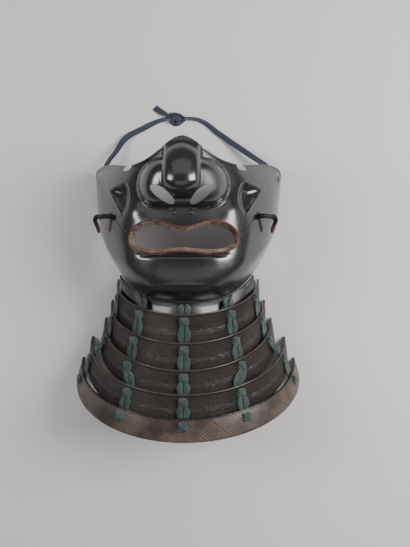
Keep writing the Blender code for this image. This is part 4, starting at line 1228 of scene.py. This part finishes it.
def make_hooks(finish):
    """Square-shouldered pegs that stand out from the cheeks and turn down, thinner at the tip."""
    for side, sign in (("left", -1), ("right", 1)):
        x, y = point_of(HOOK_FOOT, sign)
        foot_z = face_height(x, y)
        elbow = (x + sign * HOOK_OUT, y, foot_z - HOOK_SINK)
        route = (
            (x, y, foot_z + HOOK_LIFT),
            (x + sign * 0.7 * HOOK_SHOULDER[0], y, foot_z + 0.86 * HOOK_SHOULDER[1]),
            (x + sign * 1.3 * HOOK_SHOULDER[0], y, foot_z + 0.86 * HOOK_SHOULDER[1]),
            (x + sign * 0.65 * HOOK_OUT, y, foot_z - 0.28 * HOOK_SINK),
            (elbow[0] - sign * 0.0016, y, elbow[2] + 0.0008),
            (elbow[0] - sign * 0.0003, y - 0.0016, elbow[2] - 0.0004),
            (elbow[0] - sign * 0.5 * HOOK_TIP_IN, y - 0.55 * HOOK_DOWN, elbow[2] - 0.55 * HOOK_TIP_SINK),
            (elbow[0] - sign * HOOK_TIP_IN, y - HOOK_DOWN, elbow[2] - HOOK_TIP_SINK),
        )
        points, steps = spline_points(route, 44)
        share = steps / steps[-1]
        taper = np.interp(share, (0.0, 0.05, 0.6, 0.9, 0.97, 1.0), (1.1, 1.0, 0.98, 0.86, 0.7, 0.3))
        radius = HOOK_RADIUS * taper
        ups = np.broadcast_to(np.array([0.0, 0.25, 1.0]), points.shape)
        rings, flow = tube_rings(points, ups, 2 * radius, 2 * radius, 16, 0.86)
        flow[..., 0] = share[:, None]
        hook = skin_object("cheek_peg_" + side, [(rings, flow)])
        shade(hook, 60)
        add_piece(hook, finish, "hook_iron", "cheek_hook_" + side)


# Throat guard


def arch_point(half_span, tip_y, apex_y, tip_z, apex_z, angle):
    lift = np.sin(angle)
    x = half_span * np.cos(angle)
    return np.stack([x, tip_y + (apex_y - tip_y) * lift, tip_z + (apex_z - tip_z) * lift], axis=-1)


def lame_edges(index, angle):
    """Points of the inner face's upper and lower edge of a lame."""
    lame = LAMES[index]
    start = RIBS[-1].middle_y * MASK_LENGTH
    drop = lame.visible * GUARD_LENGTH + (LAME_LAP if index < len(LAMES) - 1 else 0.0)
    span = lame.half_span * GUARD_HALF_SPAN - LAME_WALL
    tip_y = start - lame.tip_y * GUARD_LENGTH
    apex_y = start - lame.apex_y * GUARD_LENGTH
    apex_z = COLLAR_TOP_Z + COLLAR_RISE + COLLAR_WALL + (index + 1) * LAME_STEP - LAME_WALL
    upper = arch_point(span, tip_y, apex_y, lame.tip_z, apex_z, angle)
    spread = span + lame.flare * GUARD_HALF_SPAN
    lower = arch_point(spread, tip_y - TIP_SHARE * drop, apex_y - drop, lame.tip_z, apex_z, angle)
    return upper, lower


def jaw_edge(share):
    rib = RIBS[-1]
    s = share * COLLAR_HALF_SPAN / (rib.half_width * MASK_HALF_WIDTH)
    return np.stack(rib_point(s, np.ones_like(s)), axis=-1)


def strip_frame(upper, lower):
    along = np.gradient(upper, axis=0) + np.gradient(lower, axis=0)
    normal = np.cross(along, lower - upper)
    return normal / np.linalg.norm(normal, axis=-1, keepdims=True)


def collar_edges(angle):
    share = np.cos(angle)
    upper = jaw_edge(share)
    along = np.gradient(upper[:, :2], axis=0)
    out = np.stack([along[:, 1], -along[:, 0]], axis=1)
    out /= np.linalg.norm(out, axis=1, keepdims=True)
    upper[:, :2] -= 1.5 * GAP * out
    lame_upper, lame_lower = lame_edges(0, angle)
    normal = strip_frame(lame_upper, lame_lower)
    lower = lame_upper + (lame_lower - lame_upper) * COLLAR_REACH - (LACE_ROOM + COLLAR_WALL) * normal
    return upper, lower


def strip_object(name, upper, lower, profile, floor=None):
    """A bent strip. profile holds (share of the length, depth beyond it, height off the inner face)."""
    normal = strip_frame(upper, lower)
    down = lower - upper
    length = np.linalg.norm(down, axis=-1, keepdims=True)
    middle = 0.5 * (upper + lower)
    along = np.concatenate([[0.0], np.cumsum(np.linalg.norm(np.diff(middle, axis=0), axis=1))])
    along = along - along[-1] / 2
    rings = []
    flow = []
    for share, extra, height in profile:
        depth = share * length + extra
        rings.append(upper + down * depth / length + normal * height)
        lift = np.full_like(along, height / LAME_WALL)
        flow.append(np.stack([along, depth[:, 0], lift], -1))
    rings = np.stack(rings, axis=1)
    if floor is not None:
        rings[..., 2] = np.maximum(rings[..., 2], floor)
    return skin_object(name, [(rings, np.stack(flow, axis=1))])


def lame_profile():
    """A lame's section: a rounded rim, a slightly crowned face and a soft lower edge."""
    wall = LAME_WALL
    proud = wall + RIM_BAND_PROUD
    band = RIM_BAND
    face = [(0.0, 0.0, 0.0004), (0.0, 0.0, 0.6 * wall), (0.0, 0.15 * band, 0.92 * proud)]
    face += [(0.0, 0.5 * band, proud), (0.0, 0.85 * band, 0.94 * proud)]
    face += [(0.0, band, wall + 0.0002), (0.0, 1.3 * band, wall - 0.0001)]
    for share in (0.16, 0.3, 0.45, 0.6, 0.75, 0.88):
        face.append((share, 0.0, wall + 0.00025 * math.sin(math.pi * share)))
    face += [(1.0, -0.0007, wall), (1.0, -0.0002, wall - 0.0003)]
    face += [(1.0, 0.0, 0.5 * wall), (1.0, -0.0003, 0.0001)]
    face += [(share, 0.0, 0.0) for share in (0.9, 0.6, 0.3, 0.06)]
    return face


def make_lames(grained, fretted):
    angles = np.linspace(0, np.pi, LAME_STEPS + 1)
    for index, lame in enumerate(LAMES):
        upper, lower = lame_edges(index, angles)
        piece = strip_object(f"guard_lame_{index + 1}", upper, lower, lame_profile(), lame.tip_z)
        shade(piece, 50)
        last = index == len(LAMES) - 1
        slot = "fret_leather" if last else "grained_leather"
        add_piece(piece, fretted if last else grained, slot, f"lame_{index + 1}")


def make_collar(finish):
    angles = np.linspace(COLLAR_START, np.pi - COLLAR_START, LAME_STEPS + 1)
    upper, lower = collar_edges(angles)
    wall = COLLAR_WALL
    profile = [(0.0, 0.0, 0.0), (0.0, 0.0, 0.7 * wall), (0.0, 0.0004, wall)]
    profile += [(share, 0.0, wall) for share in (0.2, 0.4, 0.6, 0.8)]
    profile += [(1.0, 0.0, wall), (1.0, 0.0, 0.0), (0.5, 0.0, 0.0)]
    collar = strip_object("throat_collar", upper, lower, profile)
    shade(collar, 50)
    add_piece(collar, finish, "black_lacquer", "collar")


Seat = collections.namedtuple("Seat", "point across down out")


def seat_on(edges, angle, depth, height):
    near = angle + np.array([-0.02, 0.0, 0.02])
    upper, lower = edges(near)
    out = strip_frame(upper, lower)[1]
    down = lower[1] - upper[1]
    down = down / np.linalg.norm(down)
    point = upper[1] + down * depth + out * height
    return Seat(point, np.cross(out, down), down, out)


def knot_skins(seat):
    """A round plaited knot: a low dome, and over it two cords that cross."""
    skins = []
    t = np.linspace(-1, 1, 19)
    ends = np.sqrt(1 - 0.97 * t * t)
    down = KNOT_HALF[1] * t
    points = seat.point + down[:, None] * seat.down + GAP * seat.out
    ups = np.broadcast_to(seat.out, points.shape)
    skins.append(tube_rings(points, ups, 2 * KNOT_HALF[0] * ends, 2 * KNOT_RISE * ends, 20, 0.95))
    for side in (1, -1):
        across = side * 0.62 * KNOT_HALF[0] * np.sin(t * np.pi / 2)
        rise = 0.80 * KNOT_RISE * np.sqrt(1 - 0.8 * t * t) + PLAIT_CROSS * side
        points = seat.point + across[:, None] * seat.across + 0.86 * down[:, None] * seat.down
        points = points + (GAP + rise)[:, None] * seat.out
        widths = PLAIT_CORD[0] * (0.5 + 0.5 * ends)
        heights = PLAIT_CORD[1] * np.sqrt(ends)
        skins.append(tube_rings(points, ups, widths, heights, 12, 0.85))
    return skins


def leaf_skins(start, rim, end):
    """The two cords side by side that swell between a knot and the next lame, and go behind it."""
    skins = []
    points = np.array([start.point, start.point + 0.45 * (rim.point - start.point), rim.point, end.point])
    lengths = np.concatenate([[0.0], np.cumsum(np.linalg.norm(np.diff(points, axis=0), axis=1))])
    curves = [smooth_curve(lengths, points[:, k]) for k in range(3)]
    t = np.linspace(0, 1, 22)
    line = np.stack([curve(t * lengths[-1]) for curve in curves], -1)
    across = start.across + t[:, None] * (rim.across - start.across)
    ups = start.out + t[:, None] * (rim.out - start.out)
    visible = np.clip(t * lengths[-1] / lengths[2], 0, 1)
    swell = np.sin(np.pi * (0.05 + 0.72 * visible)) ** 0.8
    for side in (-1, 1):
        offset = side * LEAF_CORD[0] * (0.16 + 0.38 * swell)
        widths = LEAF_CORD[0] * (0.34 + 0.64 * swell)
        heights = LEAF_CORD[1] * (0.55 + 0.45 * swell) * np.where(t > lengths[2] / lengths[-1], 0.74, 1.0)
        skins.append(tube_rings(line + offset[:, None] * across, ups, widths, heights, 14, 0.95))
    return skins


def make_lacing(finish):
    """The knots and cord pairs of the five columns, each in the place of one CAD lace."""
    columns = {
        "far_right": lambda lame: math.acos(lame.far_column),
        "mid_right": lambda lame: math.acos(lame.mid_column),
        "middle": lambda lame: math.pi / 2,
        "mid_left": lambda lame: math.pi - math.acos(lame.mid_column),
        "far_left": lambda lame: math.pi - math.acos(lame.far_column),
    }
    for column, angle_of in columns.items():
        angles = [angle_of(lame) for lame in LAMES[:1] + LAMES]
        for index in range(len(LAMES) + 1):
            if index == 0 and column.startswith("far"):
                continue
            name = f"{index}_{column}"
            make_lace(name, index, angles, finish)


def make_lace(name, index, angles, finish):
    def strip(number):
        return collar_edges if number == 0 else lambda near: lame_edges(number - 1, near)

    wall = COLLAR_WALL if index == 0 else LAME_WALL
    skins = []
    depth = COLLAR_LACE_DEPTH
    if index > 0:
        middle = 0.5 * (KNOT_TOP + KNOT_END)
        skins += knot_skins(seat_on(strip(index), angles[index], middle, wall))
        depth = KNOT_END - LEAF_START
    if index < len(LAMES):
        start = seat_on(strip(index), angles[index], depth, wall + GAP + 0.4 * LEAF_CORD[1])
        behind = -GAP - LACE_SLACK / 2 - LACE_THICKNESS / 2
        rim = seat_on(strip(index + 1), angles[index + 1], -RIM_PASS, behind)
        end = seat_on(strip(index + 1), angles[index + 1], LACE_TUCK, behind)
        skins += leaf_skins(start, rim, end)
    lace = skin_object("silk_" + name, skins)
    shade(lace, 80)
    add_piece(lace, finish, "green_silk", "lace_" + name)


# Ribbon


def band_rings(points, turns, widths, cup=0.0):
    """A flat band's rings. Each turn is how far the band leans from lying face up."""
    points = np.asarray(points, float)
    rings = []
    flow = []
    steps = np.concatenate([[0.0], np.cumsum(np.linalg.norm(np.diff(points, axis=0), axis=1))])
    shares = np.linspace(-1, 1, 7)
    for i, point in enumerate(points):
        along = Vector(points[min(i + 1, len(points) - 1)] - points[max(i - 1, 0)]).normalized()
        flat = along.cross(Vector((0, 0, 1))).normalized()
        across = Quaternion(along, turns[i]) @ flat
        out = np.array(across.cross(along).normalized())
        across = np.array(across)
        half = 0.5 * widths[i]
        crown = cup * (1 - shares**2)
        top = point + half * shares[:, None] * across + (0.5 * RIBBON_THICKNESS + crown)[:, None] * out
        low = point + half * shares[::-1, None] * across + (crown - 0.5 * RIBBON_THICKNESS)[::-1, None] * out
        rings.append(np.concatenate([top, low]))
        sides = np.concatenate([shares, shares[::-1]])
        flow.append(np.stack([np.full(14, steps[i]), sides, np.zeros(14)], -1))
    return np.array(rings), np.array(flow)


def make_ribbon_half(name, node, route, turn_at_start, width_stops, finish):
    points, steps = spline_points(route, 110)
    share = steps / steps[-1]
    turns = turn_at_start * np.maximum(1 - share / 0.42, 0) ** 1.5
    widths = RIBBON_WIDTH * np.interp(share, *zip(*width_stops))
    rings, flow = band_rings(points, turns, widths, 0.0002)
    rings[..., 2] = np.maximum(rings[..., 2], RIBBON_LIFT)
    half = skin_object(name, [(rings, flow)])
    shade(half, 50)
    add_piece(half, finish, "blue_satin", node)
    return half, points


def make_knot(finish):
    """The half knot that joins the ribbon's two halves: a wrapped turn, a loop over it and a loop below."""
    centre = np.array(RIBBON_KNOT)
    skins = []
    angles = np.linspace(0, 2 * np.pi, 40)
    wrap = np.stack([0.0009 * np.sin(angles), 0.0038 * np.cos(angles), 0.0021 * np.sin(angles)], -1)
    for shift, lean in ((-0.0026, 0.0006), (0.0012, -0.0008)):
        sway = lean * np.cos(angles)[:, None] * np.array([1.0, 0, 0])
        line = centre + wrap + np.array([shift, 0.0, 0.0]) + sway
        ups = wrap * np.array([0.0, 1.0, 1.0])
        skins.append(tube_rings(line, ups, np.full(40, 0.0034), np.full(40, 0.0008), CORD_SIDES, 0.7))
    over = ((-0.0085, 0.0012, -0.0012), (-0.0050, 0.0034, 0.0012), (0.0004, 0.0040, 0.0016))
    over += ((0.0050, 0.0024, 0.0006), (0.0082, 0.0004, -0.0014))
    under = ((-0.0050, -0.0016, -0.0016), (-0.0022, -0.0042, -0.0019), (0.0026, -0.0044, -0.0020))
    under += ((0.0058, -0.0022, -0.0019), (0.0082, -0.0002, -0.0012))
    for route in (over, under):
        points, _ = spline_points(centre + np.array(route), 28)
        skins.append(band_rings(points, np.full(28, 0.35), np.full(28, 0.0030), 0.0003))
    for rings, _ in skins:
        rings[..., 2] = np.maximum(rings[..., 2], RIBBON_LIFT)
    knot = skin_object("ribbon_half_knot", skins)
    shade(knot, 50)
    add_piece(knot, finish, "blue_satin", "ribbon_knot")
    return knot


def make_tail(finish):
    points, steps = spline_points(RIBBON_TAIL, 30)
    share = steps / steps[-1]
    widths = RIBBON_WIDTH * np.interp(share, (0.0, 0.35, 1.0), (0.62, 1.0, 1.16))
    rings, flow = band_rings(points, np.full(30, 0.12), widths, 0.0004)
    rings[..., 2] = np.maximum(rings[..., 2], RIBBON_LIFT)
    tail = skin_object("ribbon_loose_end", [(rings, flow)])
    shade(tail, 50)
    add_piece(tail, finish, "blue_satin", "ribbon_tail")
    return tail


def make_ribbon(finish):
    knot = make_knot(finish)
    tail = make_tail(finish)
    left_stops = ((0.0, 0.9), (0.30, 0.85), (0.50, 1.08), (0.8, 1.0), (1.0, 0.66))
    right_stops = ((0.0, 1.0), (0.30, 1.04), (0.7, 1.0), (0.9, 0.7), (1.0, 0.6))
    halves = (
        ("ribbon_band_left", "ribbon_left", RIBBON_LEFT, -RIBBON_TURN, left_stops, [knot, tail]),
        ("ribbon_band_right", "ribbon_right", RIBBON_RIGHT, RIBBON_TURN, right_stops, []),
    )
    for name, node, route, turn, stops, extras in halves:
        half, points = make_ribbon_half(name, node, route, turn, stops, finish)


# Setting


def make_camera():
    data = bpy.data.cameras.new("camera")
    data.lens_unit = "FOV"
    data.sensor_fit = "VERTICAL"
    data.angle = CAMERA_VIEW_ANGLE
    camera = bpy.data.objects.new("camera", data)
    bpy.context.scene.collection.objects.link(camera)
    camera.location = Vector(CAMERA_PLACE) + Vector(SHIFT)
    lean = math.atan2(CAMERA_PLACE[0] - CAMERA_TARGET_X, CAMERA_PLACE[2])
    camera.rotation_euler = (0.0, lean, 0.0)
    bpy.context.scene.camera = camera


def make_floor(finish):
    deselect_all()
    bpy.ops.mesh.primitive_plane_add(size=FLOOR_SIZE, location=(0, 0, 0))
    floor = bpy.context.object
    floor.name = "floor"
    floor.data.materials.append(finish)


Softbox = collections.namedtuple("Softbox", "name place target size power colour")
SOFTBOXES = (
    Softbox("softbox_right", (0.740, 0.145, 0.660), (0.0, 0.0, 0.03), (0.46, 0.50), 11.5, (1.0, 0.99, 0.98)),
    Softbox("softbox_left", (-0.740, 0.145, 0.660), (0.0, 0.0, 0.03), (0.32, 0.34), 4.0, (0.98, 0.99, 1.0)),
    Softbox("card_behind", (0.0, 0.920, 0.950), (0.0, 0.0, 0.03), (1.80, 1.00), 3.6, (1.0, 0.99, 0.985)),
    Softbox("card_in_front", (0.0, -0.620, 1.150), (0.0, 0.0, 0.03), (1.40, 0.75), 2.0, (1.0, 0.98, 0.97)),
)
ROOM_LIGHT = 0.18
FLOOR_SIZE = 4.0


def make_lights():
    for box in SOFTBOXES:
        data = bpy.data.lights.new(box.name, "AREA")
        data.shape = "RECTANGLE"
        data.size, data.size_y = box.size
        data.energy = box.power
        data.color = box.colour
        light = bpy.data.objects.new(box.name, data)
        bpy.context.scene.collection.objects.link(light)
        light.location = box.place
        aim = Vector(box.target) - Vector(box.place)
        light.rotation_euler = aim.to_track_quat("-Z", "Y").to_euler()
    world = bpy.data.worlds.new("room")
    world.use_nodes = True
    world.node_tree.nodes["Background"].inputs["Color"].default_value = (0.80, 0.79, 0.79, 1.0)
    world.node_tree.nodes["Background"].inputs["Strength"].default_value = ROOM_LIGHT
    bpy.context.scene.world = world


def plain(corner):
    return [float(value) for value in corner]


UNCUT_PLATES = []
make_camera()
make_ribbon(blue_satin())
lacquer = black_lacquer()
make_mask(lacquer)
make_mouth_rim(rim_lacquer())
make_rivets(lacquer)
make_hooks(hook_iron())
make_collar(lacquer)
make_lames(grained_leather(), fret_leather())
make_lacing(green_silk())
make_floor(pale_surface())
make_lights()
